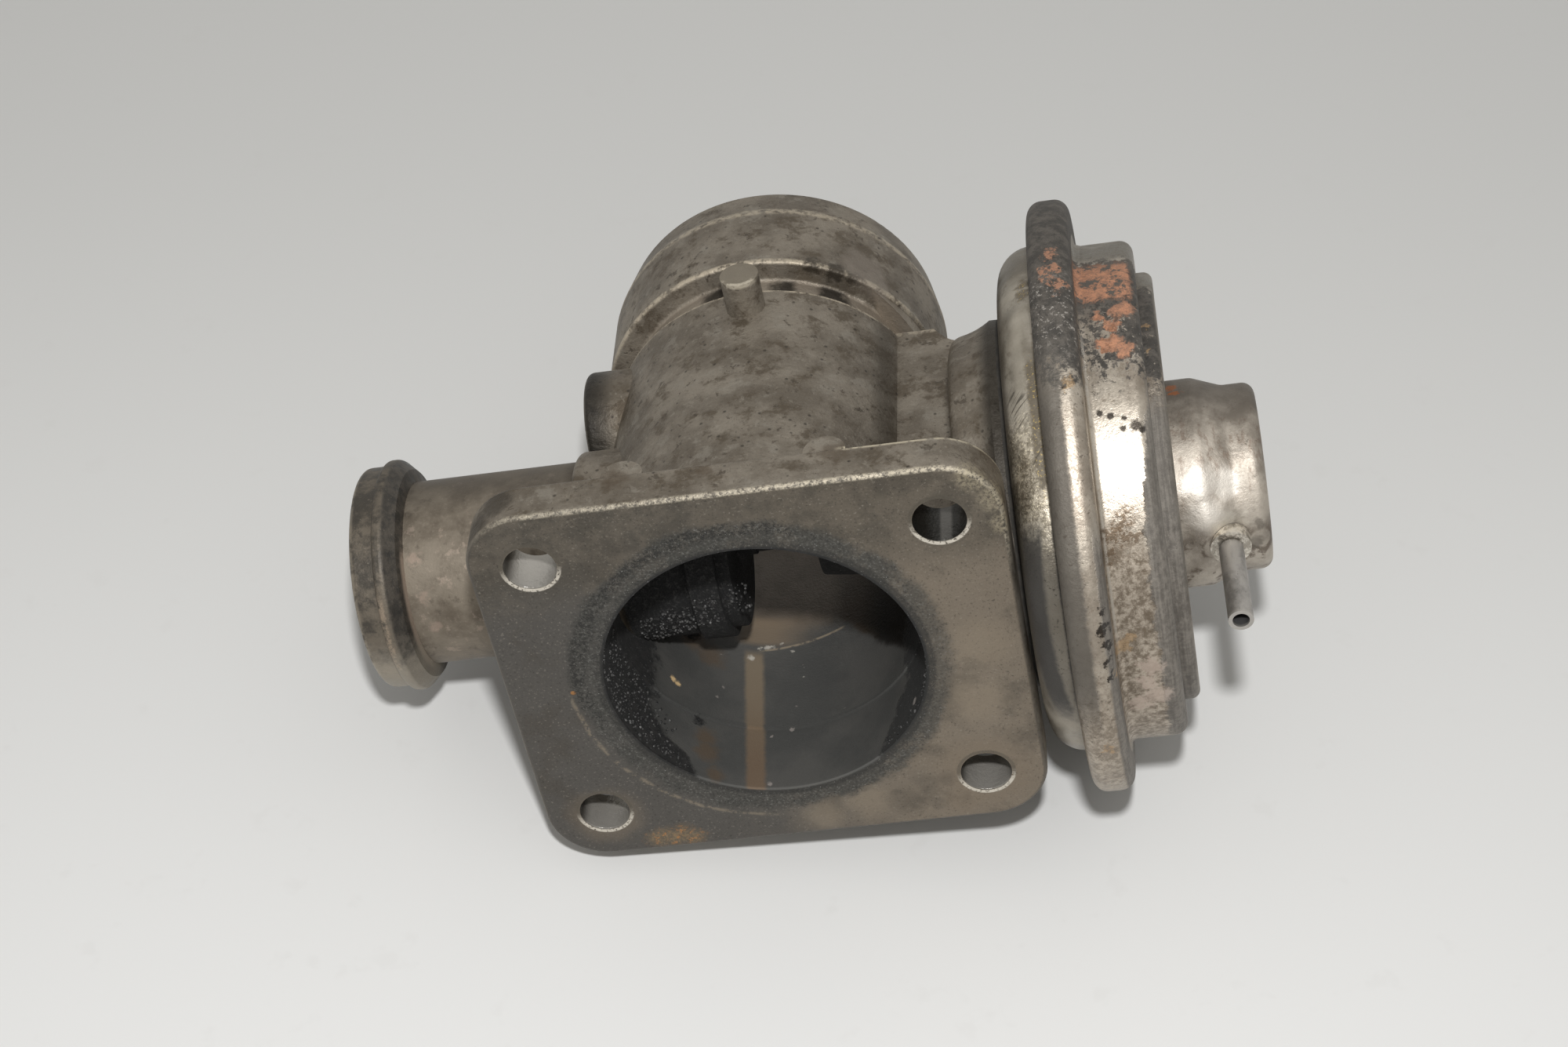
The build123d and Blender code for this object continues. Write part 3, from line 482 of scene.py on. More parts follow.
# %% Rims of the bolt holes
def hole_rims(f, face):
    """Each rim gets a painted highlight on its lower side, where a chamfer would catch the lamp.
    """
    outward = f.math("SUBTRACT", f.math("ABSOLUTE", f.z), HOLE_Z_MM)
    below = f.math("MULTIPLY", outward, f.math("SIGN", f.z))
    rim = f.band(f.hole, HOLE_RADIUS_MM, HOLE_RADIUS_MM + 0.65, 0.12)
    face = f.over(face, rim, tone(92, 86, 76), 0.6)
    # painted highlight: the bright crescent low on each rim
    crescent = f.both(rim, f.fade(below, 0.5, -2.6), f.fade(f.specks, 0.30, 0.50))
    return f.over(face, crescent, tone(214, 207, 194), 0.85)


# %% [markdown]
# ## Inside the bore
# Air and exhaust meet here, so the walls are black with soot and crumbs, and the bottom is
# only oily, with a tan stripe along it. The lower right wall and a wedge far in are painted
# dark as shadow, and the floor far in is painted lighter as lit. The same trick of torn masks
# is used, laid out along the floor of the bore: x goes across it and y goes in.

# %% Oily floor with its tan stripe
def bore_floor(f):
    floor = f.fade(f.z, -9.0, -15.0)
    oily = f.mix(f.fade(f.noise(12.0, shift=5.0), 0.35, 0.65), tone(83, 83, 81), tone(94, 93, 90))
    # painted light: the floor further in is painted paler, as lit
    lit_rear_floor = f.mix(
        f.fade(f.noise(7.0, shift=8.0), 0.35, 0.65), tone(116, 104, 90), tone(134, 122, 108)
    )
    bore = f.over(oily, f.fade(f.torn_y, 36.0, 42.0), lit_rear_floor)
    # a cream band across the floor, partly a deposit and partly painted light
    cream = f.both(
        f.band(f.y, 34.6, 41.5, 1.0), f.fade(f.x, 5.0, -6.0), f.fade(f.x, -11.5, -9.0), floor
    )
    bore = f.over(bore, cream, tone(146, 128, 106), 0.75)
    line_y = f.math("ADD", 34.4, f.math("MULTIPLY", f.x, 0.22))
    # a thin pale line along the front of the cream band
    cream_line = f.both(
        f.band(f.math("SUBTRACT", f.y, line_y), -0.25, 0.25, 0.2),
        f.band(f.x, -6.5, 8.2, 0.5),
        floor,
        f.fade(f.sand, 0.36, 0.52),
    )
    bore = f.over(bore, cream_line, tone(190, 172, 146), 0.6)
    # a paler stripe along the floor, paler further in
    along = f.push(f.math("ADD", f.x, f.math("MULTIPLY", f.y, 0.045)), f.sand, 0.7)
    stripe = f.both(f.band(along, -7.5, -4.5, 0.5), f.fade(f.y, 33.5, 31.0), floor)
    stripe_tone = f.mix(f.fade(f.y, 2.0, 30.0), tone(126, 106, 86), tone(150, 134, 112))
    bore = f.over(bore, stripe, stripe_tone, 0.8)
    brown = [
        (-17.0, 31.5, -19.3, 2.4),
        (-14.5, 29.3, -21.3, 2.4),
        (-14.2, 9.5, -21.6, 2.0),
        (-14.0, 6.3, -21.8, 2.0),
        (-12.5, 2.0, -22.6, 1.6),
    ]
    bore = f.over(bore, f.patches(f.torn_place, brown, soft=0.6), tone(106, 86, 64), 0.5)
    return bore, floor, stripe


# %% Black walls, and the shadowed wedge far in
def bore_soot(f, bore):
    """Soot blackens the left wall and the upper part of both walls, and the lower right wall is
    painted dark as shadow; inner_edge and right_edge are where these stop.
    """
    # painted shadow: a wedge far in on the right, brown then dark
    far_right = f.math("ADD", f.torn_y, f.math("MULTIPLY", f.math("SUBTRACT", f.x, 8.0), 1.52))
    wedge = f.both(f.fade(far_right, 37.0, 39.5), f.fade(f.x, 5.0, 9.0))
    umber = f.mix(f.fade(f.x, 10.0, 16.0), tone(78, 66, 52), tone(34, 32, 30))
    bore = f.over(bore, wedge, umber, 0.9)
    inner_edge = f.fade(f.y, 10.0, -1.0, low=-21.6, high=-14.6)
    wall_soot = f.fade(f.math("SUBTRACT", f.torn_x, inner_edge), 0.5, -0.7)
    black = f.either(
        f.both(wall_soot, f.fade(f.torn_y, 40.0, 30.0)),
        f.patches(f.torn_place, [(-15.4, 12.9, -20.7, 1.2), (-17.5, 33.0, -19.0, 1.6)]),
        f.fade(f.z, -14.5, -10.5),
    )
    coal = f.mix(f.fade(f.sand, 0.40, 0.62), tone(22, 22, 22), tone(38, 37, 36))
    bore = f.over(bore, black, coal, 0.96)
    # painted shadow on the lower right wall
    right_edge = f.fade(f.y, 0.0, 12.0, low=15.6, high=20.4)
    right = f.both(
        f.fade(f.math("SUBTRACT", f.torn_x, right_edge), -0.4, 0.6), f.fade(f.torn_y, 40.0, 34.0)
    )
    bore = f.over(bore, right, tone(36, 36, 35), 0.9)
    # lighter specks for crumbs, painted as glints
    lumpy = f.noise(0.45, detail=3.0, roughness=0.7, shift=2.0)
    crumbs = f.both(f.either(black, right), f.fade(lumpy, 0.62, 0.70))
    return f.over(bore, crumbs, tone(128, 128, 128), 0.5), black, right


# %% Painted glints and grey motes that lie on the floor
BORE_GLINTS = [
    (-5.3, 34.0, -25.3, 0.7),
    (-4.4, 34.3, -25.4, 0.6),
    (-6.6, 33.6, -24.9, 0.5),
    (-8.1, 31.0, -24.5, 0.7),
    (-2.9, 34.8, -25.6, 0.4),
    (-0.9, 33.0, -25.8, 0.5),
    (1.2, 28.7, -25.8, 0.35),
    (1.3, 25.9, -25.8, 0.45),
]
GREY_MOTES = [
    (0.2, 18.9, -25.8, 0.35),
    (11.4, 16.6, -23.1, 0.25),
    (8.9, 15.6, -24.2, 0.25),
    (14.0, 15.5, -21.7, 0.2),
    (-0.5, 13.6, -25.8, 0.4),
    (-4.0, 12.1, -25.5, 0.3),
    (-12.8, 30.2, -22.4, 0.35),
    (-12.2, 22.2, -22.7, 0.4),
    (-13.1, 19.5, -22.2, 0.4),
    (-3.8, 0.9, -25.5, 0.4),
    (22.2, 3.8, -13.1, 0.6),
]
GOLD_GLINT = [(-19.7, 19.2, -16.6, 0.65), (-19.0, 18.7, -17.4, 0.65)]


def bore_glints_and_motes(f, bore):
    # painted highlights: bright glints on the floor and a gold glint on the left wall; the grey
    # motes are specks
    bore = f.over(bore, f.patches(f.torn(0.35, 0.7), BORE_GLINTS), tone(226, 220, 208), 0.8)
    bore = f.over(bore, f.patches(f.torn(0.3, 0.6), GREY_MOTES), tone(168, 160, 154), 0.7)
    return f.over(bore, f.patches(f.torn(0.3, 0.8), GOLD_GLINT), tone(250, 214, 160), 0.9)


def bore_paint(f):
    """Colour of the whole bore, and where it is black."""
    f.torn_place = f.torn(1.3, 4.0, shift=15.0)
    split = f.tree.nodes.new("ShaderNodeSeparateXYZ")
    f.feed(split.inputs[0], f.torn_place)
    f.torn_x, f.torn_y = split.outputs[0], split.outputs[1]
    bore, floor, stripe = bore_floor(f)
    bore, black, right = bore_soot(f, bore)
    bare = f.fade(f.either(black, right, stripe), 1.0, 0.0)
    step_line = f.both(f.band(f.y, 13.5, 14.6, 0.2), floor, bare)
    bore = f.over(bore, step_line, tone(84, 84, 82), 0.8)
    return bore_glints_and_motes(f, bore), f.either(black, right)


# %% [markdown]
# ## The casting put together
# One mesh has several surfaces: skin, machined face, hole walls and bore. Each is picked by
# where it lies, so no faces have to be selected by hand. Distances do that: away is the
# distance from the duct's axis, hole the distance from the nearest bolt hole's axis.

# %% Edges of the flange
def flange_edges(f, colour):
    past_x = f.math("MAXIMUM", f.side_x, 0.0)
    past_z = f.math("MAXIMUM", f.math("SUBTRACT", f.side_z, 0.2), 0.0)
    past_corner = f.vector("LENGTH", f.join(past_x, past_z, 0.0))
    from_edge = f.math("SUBTRACT", FLANGE_CORNER_MM, past_corner)
    front_edge = f.both(f.fade(from_edge, 0.85, 0.5), f.fade(f.y, 0.9, 0.5))
    # painted shade along the front edge of the flange
    colour = f.over(colour, front_edge, tone(84, 80, 74), 0.6)
    along_top = f.both(f.fade(f.z, 30.0, 33.5), f.fade(f.x, -41.0, -34.0))
    down_right = f.both(f.fade(f.x, 36.5, 39.5), f.fade(f.z, 14.0, 24.0))
    # painted highlight along the top and down the right of the front edge
    edge_highlight = f.both(
        front_edge,
        f.either(along_top, down_right),
        f.fade(f.x, -34.0, 16.0, low=0.6, high=1.0),
        f.fade(f.grain, 0.36, 0.60),
    )
    colour = f.over(colour, edge_highlight, tone(198, 188, 168), 0.72)
    # painted highlight round the top right corner
    corner_highlight_spots = [(38.0, 0.5, 34.6, 2.6), (40.6, 0.5, 30.0, 2.4), (41.4, 0.5, 25.0, 1.8)]
    corner_highlight = f.both(
        f.patches(f.torn(0.6, 2.0, shift=27.0), corner_highlight_spots),
        f.fade(f.y, 4.0, 1.0),
        f.fade(f.grain, 0.36, 0.60),
    )
    colour = f.over(colour, corner_highlight, tone(176, 165, 140), 0.5)
    # painted highlight along the rear edge at the top right
    rear_edge_highlight = f.both(
        f.fade(from_edge, 1.0, 0.5),
        f.band(f.y, FLANGE_BACK_MM - 1.0, FLANGE_BACK_MM + 0.2, 0.3),
        f.fade(f.x, 17.0, 19.0),
        f.fade(f.z, 20.0, 28.0),
        f.fade(f.sand, 0.35, 0.55),
    )
    colour = f.over(colour, rear_edge_highlight, tone(215, 204, 180), 0.9)
    dirt = f.patches(
        f.torn(1.2, 3.0, shift=40.0), [(-38.5, 2.0, 33.5, 3.2), (-36.0, 5.0, 36.0, 3.0)]
    )
    return f.over(colour, f.both(dirt, f.fade(f.y, 0.4, 0.9)), tone(60, 54, 46), 0.8)


# %% Walls of the bolt holes
def hole_walls(f, colour):
    in_hole = f.both(
        f.fade(f.hole, HOLE_RADIUS_MM + 0.12, HOLE_RADIUS_MM + 0.04),
        f.band(f.y, 0.1, FLANGE_BACK_MM + 0.2, 0.1),
    )
    upright = f.math("MULTIPLY", f.side_z, f.math("SIGN", f.z))
    # painted light and shade: each hole's wall is pale low down, where the lamp reaches, and dark
    # at the top
    hole_wall_light_and_shade = f.mix(f.fade(upright, -0.5, -3.0), tone(66, 63, 58), tone(176, 172, 165))
    upper_right_hole = f.both(f.fade(f.x, 20.0, 24.0), f.fade(f.z, 10.0, 14.0))
    # painted shade and a painted reflection: the upper right hole is dark, with a grey streak
    reflection_streak = f.mix(f.band(f.x, 31.6, 33.4, 0.3), tone(42, 41, 38), tone(92, 90, 86))
    hole_wall_light_and_shade = f.mix(upper_right_hole, hole_wall_light_and_shade, reflection_streak)
    return f.mix(in_hole, colour, hole_wall_light_and_shade), in_hole


# %% Skin, face, holes and bore in one material
def cast_aluminium():
    f = Finish("cast_aluminium")
    f.away = f.vector("LENGTH", f.vector("MULTIPLY", f.place, (1.0, 0.0, 1.0)))
    f.side_x = f.math("SUBTRACT", f.math("ABSOLUTE", f.x), HOLE_X_MM)
    f.side_z = f.math("SUBTRACT", f.math("ABSOLUTE", f.z), HOLE_Z_MM)
    f.hole = f.vector("LENGTH", f.join(f.side_x, f.side_z, 0.0))

    skin = painted_edge_highlights(f, cast_ground(f))
    skin = stop_pin(f, lug_and_web(f, groove_marks(f, skin)))
    face = face_deposit(f, face_stains(f, face_dust(f)))
    face = hole_rims(f, soot_ring(f, face))
    on_face = f.fade(f.y, 0.35, 0.12)
    colour = flange_edges(f, f.mix(on_face, skin, face))
    colour, in_hole = hole_walls(f, colour)
    bore, black = bore_paint(f)
    inside = f.fade(f.away, MOUTH_RADIUS_MM + 0.7, MOUTH_RADIUS_MM + 0.2)

    metal = f.level(inside, 0.5, f.level(black, 0.15, 0.0))
    metal = f.level(f.ring, metal, f.level(on_face, metal, 0.2))
    rough = f.fade(f.cloud, 0.3, 0.7, low=0.46, high=0.62)
    rough = f.level(in_hole, rough, 0.30)
    rough = f.level(inside, rough, f.level(black, 0.42, 0.9))
    rough = f.level(f.both(f.ring, on_face), rough, 0.75)
    f.set(Base_Color=f.mix(inside, colour, bore), Roughness=rough, Metallic=metal)

    outside = f.both(f.fade(inside, 1.0, 0.0), f.fade(in_hole, 1.0, 0.0))
    rim_slope = f.fade(f.hole, HOLE_RADIUS_MM, HOLE_RADIUS_MM + 0.8)
    normal = f.bump(f.grain, 0.16, 0.55)
    normal = f.bump(f.both(f.sand, f.either(outside, black)), 0.42, 0.5, normal)
    normal = f.bump(f.both(f.stain, outside), 0.6, 0.3, normal)
    normal = f.bump(f.either(rim_slope, f.fade(on_face, 1.0, 0.0)), 0.4, 0.4, normal)
    f.set(Normal=normal)
    return f


coat(["housing"], cast_aluminium())

# %% [markdown]
# ## Steel tube
# The tube is drawn steel that exhaust heat has dulled, so it is blotchy grey-brown with a
# soft shine. Its inner end stands in the duct and is black with soot. Angles round the valve
# axis place the rest: the back and the underside, away from the lamp, are painted darker as
# shade.

# %% Tube
def tube_steel():
    f = Finish("tube_steel")
    cloud = f.noise(8.0, detail=5.0, roughness=0.65)
    blots = f.noise(3.0, detail=5.0, roughness=0.7, shift=14.0)
    grain = f.noise(0.5, detail=3.0, roughness=0.7)
    grit = f.noise(0.9, detail=4.0, roughness=0.75, shift=6.0)
    turn = f.around()
    colour = f.mix(f.fade(cloud, 0.34, 0.64), tone(100, 91, 80), tone(134, 125, 112))
    colour = f.over(colour, f.fade(blots, 0.54, 0.68), tone(88, 80, 71), 0.65)
    colour = f.over(colour, f.fade(blots, 0.42, 0.32), tone(172, 156, 142), 0.45)
    colour = f.over(colour, f.fade(grain, 0.58, 0.80), tone(176, 164, 150), 0.35)
    # painted shade: the back and the underside, away from the lamp, are darker
    shaded_far_side = f.either(
        f.fade(f.push(turn, cloud, 30.0), 22.0, -12.0), f.fade(turn, 135.0, 160.0)
    )
    colour = f.over(colour, shaded_far_side, tone(80, 74, 66), 0.6)
    colour = f.over(colour, f.fade(f.x, -33.5, -30.8), tone(66, 58, 48), 0.6)
    heat_spots = [
        (-58, 24, 12.0, 1.4),
        (-57, 20.4, 6.0, 1.2),
        (-56.5, 19.5, 1.0, 1.0),
        (-45, 20.5, 5.0, 2.0),
    ]
    spots = f.both(f.patches(f.torn(0.7, 2.0), heat_spots), f.fade(blots, 0.60, 0.46))
    colour = f.over(colour, spots, tone(168, 148, 134), 0.45)

    sooty = f.fade(f.x, -25.0, -24.0)
    soot = f.mix(f.fade(grit, 0.50, 0.66), tone(24, 24, 24), tone(62, 61, 60))
    rough = f.fade(cloud, 0.3, 0.7, low=0.46, high=0.62)
    f.set(Base_Color=f.mix(sooty, colour, soot), Metallic=f.level(sooty, 0.55, 0.0))
    f.set(Roughness=f.level(sooty, rough, 0.85))
    f.set(Normal=f.bump(f.both(grit, sooty), 0.9, 0.9, f.bump(grain, 0.08, 0.5)))
    return f


coat(["gas_inlet_tube"], tube_steel())

# %% [markdown]
# ## Clamp flange
# This turned ring carries the clamp that holds the exhaust pipe. Its crest gets a painted
# highlight, broken where the clamp rubbed it, the cone behind it is painted dark as shade,
# and the neck gets a thin painted highlight.

# %% Clamp flange
def flange_steel():
    f = Finish("flange_steel")
    cloud = f.noise(5.0, detail=5.0, roughness=0.7)
    blots = f.noise(2.2, detail=5.0, roughness=0.7, shift=14.0)
    grain = f.noise(0.5, detail=3.0, roughness=0.7)
    turn = f.around()
    colour = f.mix(f.fade(cloud, 0.38, 0.62), tone(70, 66, 60), tone(108, 100, 89))
    colour = f.over(colour, f.fade(blots, 0.54, 0.66), tone(60, 57, 53), 0.7)
    # painted shade on the cone behind the crest
    cone = f.both(f.fade(f.x, -62.7, -62.1), f.fade(f.x, -59.5, -60.2))
    cone_shade = f.mix(f.fade(blots, 0.40, 0.62), tone(60, 59, 57), tone(88, 83, 77))
    colour = f.over(colour, cone, cone_shade, 0.8)
    # painted highlight along the crest, broken where the clamp rubbed it
    crest_highlight = f.both(
        f.band(f.push(f.x, blots, 1.2), -64.2, -63.1, 0.25),
        f.band(f.push(turn, blots, 26.0), 60.0, 108.0, 8.0),
        f.fade(blots, 0.60, 0.48),
    )
    colour = f.over(colour, f.both(crest_highlight, f.fade(grain, 0.3, 0.55)), tone(170, 152, 132), 0.55)
    washed = [(-63.5, 21.5, -9.0, 1.6), (-63.8, 26.0, -14.0, 1.8), (-63.4, 31.0, -17.0, 1.6)]
    pale = f.both(f.patches(f.torn(0.8, 2.0), washed), f.fade(blots, 0.60, 0.48))
    colour = f.over(colour, pale, tone(170, 148, 136), 0.6)
    # painted highlight: a thin bright line at the neck
    neck_highlight = f.both(
        f.band(f.x, -60.1, -59.5, 0.15), f.band(f.push(turn, cloud, 40.0), 36.0, 130.0, 8.0)
    )
    colour = f.over(colour, neck_highlight, tone(186, 168, 152), 0.7)
    lip = f.both(f.fade(f.x, -67.3, -68.0), f.fade(blots, 0.4, 0.55))
    colour = f.over(colour, lip, tone(168, 158, 142), 0.5)
    under = f.band(f.push(turn, blots, 30.0), 96.0, 150.0, 14.0)
    colour = f.over(colour, under, tone(176, 167, 152), 0.6)
    colour = f.over(colour, f.fade(grain, 0.60, 0.80), tone(170, 158, 142), 0.4)
    inner = f.fade(f.off_valve_axis(), 14.6, 14.2)
    colour = f.over(colour, inner, tone(30, 29, 28))
    rough = f.fade(cloud, 0.3, 0.7, low=0.42, high=0.6)
    f.set(Base_Color=colour, Roughness=rough, Metallic=0.5)
    f.set(Normal=f.bump(blots, 0.30, 0.35, f.bump(grain, 0.10, 0.5)))
    return f


coat(["vband_flange"], flange_steel())

# %% [markdown]
# ## Vacuum can: the shell
# The can was plated steel. Water has taken the plating off the top, so there it is rusty and
# flaking, and it stays dark down one side. The front is bright metal. A mark on a turned
# piece is easier to place by angle than by x, y and z, so spots here are written as a place
# along the can, an angle round it and a radius, and noise tears their edges.

# %% Patterns and paints of the shell
def can_patterns(f):
    """Noise that the steps share, and the torn place (x, 0.7 mm a degree) spots are drawn in."""
    f.turn = f.around()
    f.cloud = f.noise(7.0, detail=5.0, roughness=0.65)
    f.flakes = f.noise(2.6, detail=6.0, roughness=0.75, shift=5.0)
    f.chips = f.noise(1.1, detail=5.0, roughness=0.75, shift=25.0)
    f.grain = f.noise(0.35, detail=2.0, roughness=0.6)
    f.on_rim = f.fade(f.off_valve_axis(), 42.6, 43.2)
    f.on_shell = f.fade(f.on_rim, 1.0, 0.0)
    pattern = f.node("ShaderNodeTexNoise", Vector=f.place, Scale=0.55, Detail=5.0, Roughness=0.7)
    push = f.vector("SUBTRACT", pattern.outputs["Color"], (0.5, 0.5, 0.5))
    unrolled = f.join(f.x, f.math("MULTIPLY", f.turn, 0.7), 0.0)
    f.unrolled = f.vector("ADD", unrolled, f.vector("SCALE", push, scale=5.0))


def can_spots(f, spots):
    """1 inside any of the spots, given as (x, degrees round the axis, radius)."""
    flat = f.vector("MULTIPLY", f.unrolled, (1.0, 1.0, 0.0))
    return f.patches(flat, [(x, 0.7 * angle, 0, radius) for x, angle, radius in spots], 0.3)


def bright_plating(f):
    paint = f.mix(f.fade(f.cloud, 0.34, 0.64), tone(150, 140, 128), tone(186, 177, 164))
    paint = f.over(paint, f.fade(f.flakes, 0.56, 0.66), tone(124, 112, 98), 0.6)
    return f.over(paint, f.fade(f.chips, 0.66, 0.72), tone(74, 66, 56), 0.7)


def dark_scale(f):
    paint = f.mix(f.fade(f.flakes, 0.40, 0.62), tone(68, 65, 61), tone(96, 91, 85))
    paint = f.over(paint, f.fade(f.chips, 0.56, 0.64), tone(44, 42, 40), 0.6)
    return f.over(paint, f.fade(f.grain, 0.66, 0.80), tone(158, 152, 144), 0.45)


def pink_rust(f):
    lumps = f.fade(f.push(f.chips, f.grain, 0.4), 0.36, 0.62)
    paint = f.mix(lumps, tone(196, 142, 112), tone(156, 118, 97))
    paint = f.over(paint, f.fade(f.grain, 0.60, 0.70), tone(214, 160, 120), 0.5)
    holes = f.noise(0.9, detail=4.0, roughness=0.75, shift=71.0)
    return f.over(paint, f.fade(holes, 0.60, 0.68), tone(88, 72, 62), 0.6)


def brown_plating(f):
    paint = f.mix(f.fade(f.chips, 0.38, 0.62), tone(112, 100, 86), tone(184, 173, 159))
    return f.over(paint, f.fade(f.flakes, 0.50, 0.62), tone(104, 93, 80), 0.6)


# %% Where the plating holds, and where it is gone
def can_plating(f):
    """Bright metal in front, brown low down, dark scale on top and down the far side."""
    worn = f.push(f.push(f.turn, f.flakes, 34.0), f.chips, 22.0)
    f.dark_shell = f.both(f.band(worn, -13.0, 24.0, 2.0), f.on_shell)
    f.dark_rim = f.both(
        f.on_rim, f.fade(f.push(f.push(f.turn, f.flakes, 22.0), f.chips, 14.0), 31.0, 26.0)
    )
    past_step = f.push(f.push(f.x, f.flakes, 4.0), f.fade(f.turn, 22.0, 62.0), 3.0)
    f.step_side = f.both(
        f.fade(past_step, 63.6, 64.4), f.fade(f.push(f.turn, f.chips, 20.0), 22.0, 34.0)
    )
    f.rim_side = f.both(
        f.on_rim, f.fade(f.push(f.x, f.chips, 1.2), 54.3, 54.9), f.fade(f.turn, 52.0, 64.0)
    )
    f.dull = f.both(f.fade(f.push(f.turn, f.flakes, 30.0), 56.0, 66.0), f.on_shell)
    low_rim = f.both(f.on_rim, f.fade(f.push(f.turn, f.flakes, 30.0), 78.0, 96.0))

    brown = f.either(f.dull, f.math("MULTIPLY", low_rim, 0.8))
    bright = bright_plating(f)
    colour = f.over(bright, brown, brown_plating(f), 0.85)
    stretched = f.join(f.math("MULTIPLY", f.x, 1.6), f.math("MULTIPLY", f.turn, 0.05), 0.0)
    drawn = f.node("ShaderNodeTexNoise", Vector=stretched, Scale=1.0, Detail=4.0, Roughness=0.6)
    drawn_marks = f.fade(f.push(drawn.outputs["Fac"], f.chips, 0.6), 0.34, 0.66)
    coat_paint = f.mix(drawn_marks, tone(90, 86, 81), tone(122, 117, 110))
    colour = f.over(colour, f.either(f.step_side, f.rim_side), coat_paint, 0.9)
    colour = f.mix(f.either(f.dark_shell, f.dark_rim), colour, dark_scale(f))
    thin = f.push(
        f.noise(1.5, detail=5.0, roughness=0.75, shift=60.0), f.fade(f.x, 62.5, 58.0), 0.10
    )
    f.islands = f.both(f.dark_shell, f.band(f.turn, 8.0, 30.0, 5.0), f.fade(thin, 0.53, 0.57))
    return f.mix(f.islands, colour, bright)


# %% Rust, scratches and amber stains
def can_rust(f, colour):
    scraped = f.fade(f.noise(0.8, detail=4.0, roughness=0.8, shift=3.0), 0.56, 0.62)
    scratched = f.both(f.dark_rim, f.band(f.turn, 7.0, 24.0, 4.0), scraped)
    colour = f.over(colour, scratched, tone(176, 170, 162), 0.7)
    on_top = f.both(
        f.band(f.push(f.turn, f.chips, 9.0), -10.5, 4.0, 1.5),
        f.on_shell,
        f.fade(f.push(f.x, f.chips, 2.0), 65.0, 64.0),
        f.fade(f.flakes, 0.58, 0.50),
    )
    down_side = [
        (63.0, 8.0, 1.7),
        (61.0, 12.0, 1.3),
        (60.4, 17.0, 1.6),
        (62.6, 19.5, 1.4),
        (59.2, 9.0, 1.0),
    ]
    by_rim = [(52.6, 0.5, 1.1), (51.6, 6.0, 1.2), (53.6, 9.0, 1.3), (53.0, 5.0, 1.0)]
    rusty_rim = f.both(f.on_rim, can_spots(f, by_rim), f.fade(f.chips, 0.44, 0.54))
    f.rusty = f.either(on_top, can_spots(f, down_side), rusty_rim)
    colour = f.mix(f.rusty, colour, pink_rust(f))
    amber = [
        (53.8, 30.5, 0.8),
        (65.9, 5.5, 0.6),
        (66.2, 14.0, 0.5),
        (52.9, 105.0, 1.0),
        (57.0, 86.0, 1.3),
        (58.4, 84.0, 1.0),
    ]
    stained = f.both(can_spots(f, amber), f.fade(f.chips, 0.36, 0.50))
    colour = f.over(colour, stained, tone(172, 142, 104), 0.6)
    silvery = f.both(f.fade(f.push(f.turn, f.chips, 8.0), -12.0, -15.5), f.on_shell)
    return f.over(colour, silvery, tone(128, 123, 114), 0.85)


# %% Pitted dots, peeled patches and flecks
def can_marks(f, colour):
    across_shell = [
        (57.8, 12.3, 34.1, 0.55),
        (59.4, 11.8, 33.8, 0.5),
        (61.4, 11.3, 33.5, 0.4),
        (61.1, 10, 32.5, 0.5),
        (63.0, 10.2, 32.7, 0.9),
        (53.0, 9.5, 42.4, 0.5),
        (63.9, 9.6, 32.3, 0.6),
    ]
    down_rim = [
        (54.4, 72.0, 0.6),
        (54.7, 75.5, 0.7),
        (54.8, 79.0, 0.6),
        (54.9, 82.5, 0.7),
        (54.7, 86.0, 0.5),
    ]
    dots = f.either(
        f.patches(f.torn(0.25, 0.8), across_shell), f.both(f.on_rim, can_spots(f, down_rim))
    )
    colour = f.over(colour, dots, tone(40, 36, 33), 0.9)
    primer = [(61.0, 93.0, 1.8), (61.6, 103.0, 2.0), (58.6, 106.0, 1.8), (60.0, 98.0, 1.6)]
    peeled = f.both(can_spots(f, primer), f.fade(f.chips, 0.66, 0.58))
    colour = f.over(colour, peeled, tone(188, 172, 160), 0.75)
    flaky = [(59.4, 57.0, 1.8), (58.0, 60.5, 2.0), (57.2, 64.0, 1.5), (60.6, 61.0, 1.3)]
    flaking = f.both(can_spots(f, flaky), f.fade(f.chips, 0.46, 0.52))
    colour = f.over(colour, flaking, tone(92, 76, 60), 0.8)
    dish_side = f.fade(f.push(f.push(f.x, f.flakes, 1.6), f.chips, 0.8), 53.0, 52.0)
    f.shaded = f.both(f.on_rim, dish_side, f.band(f.turn, 26.0, 96.0, 10.0))
    colour = f.over(colour, f.shaded, tone(84, 80, 74), 0.85)
    fine = f.fade(f.noise(0.7, detail=4.0, roughness=0.8, shift=81.0), 0.58, 0.66)
    flecks = f.both(f.on_rim, fine, f.fade(f.turn, 24.0, 34.0))
    colour = f.over(colour, flecks, tone(76, 68, 60), 0.65)
    crease = f.both(
        f.band(f.x, 56.0, 56.45, 0.12),
        f.on_shell,
        f.band(f.turn, 16.0, 84.0, 6.0),
        f.fade(f.chips, 0.62, 0.48),
    )
    colour = f.over(colour, crease, tone(196, 190, 180), 0.6)
    edge = f.both(f.band(f.x, 69.3, 70.4, 0.25), f.fade(f.chips, 0.40, 0.55))
    return f.over(colour, edge, tone(170, 164, 155), 0.4)


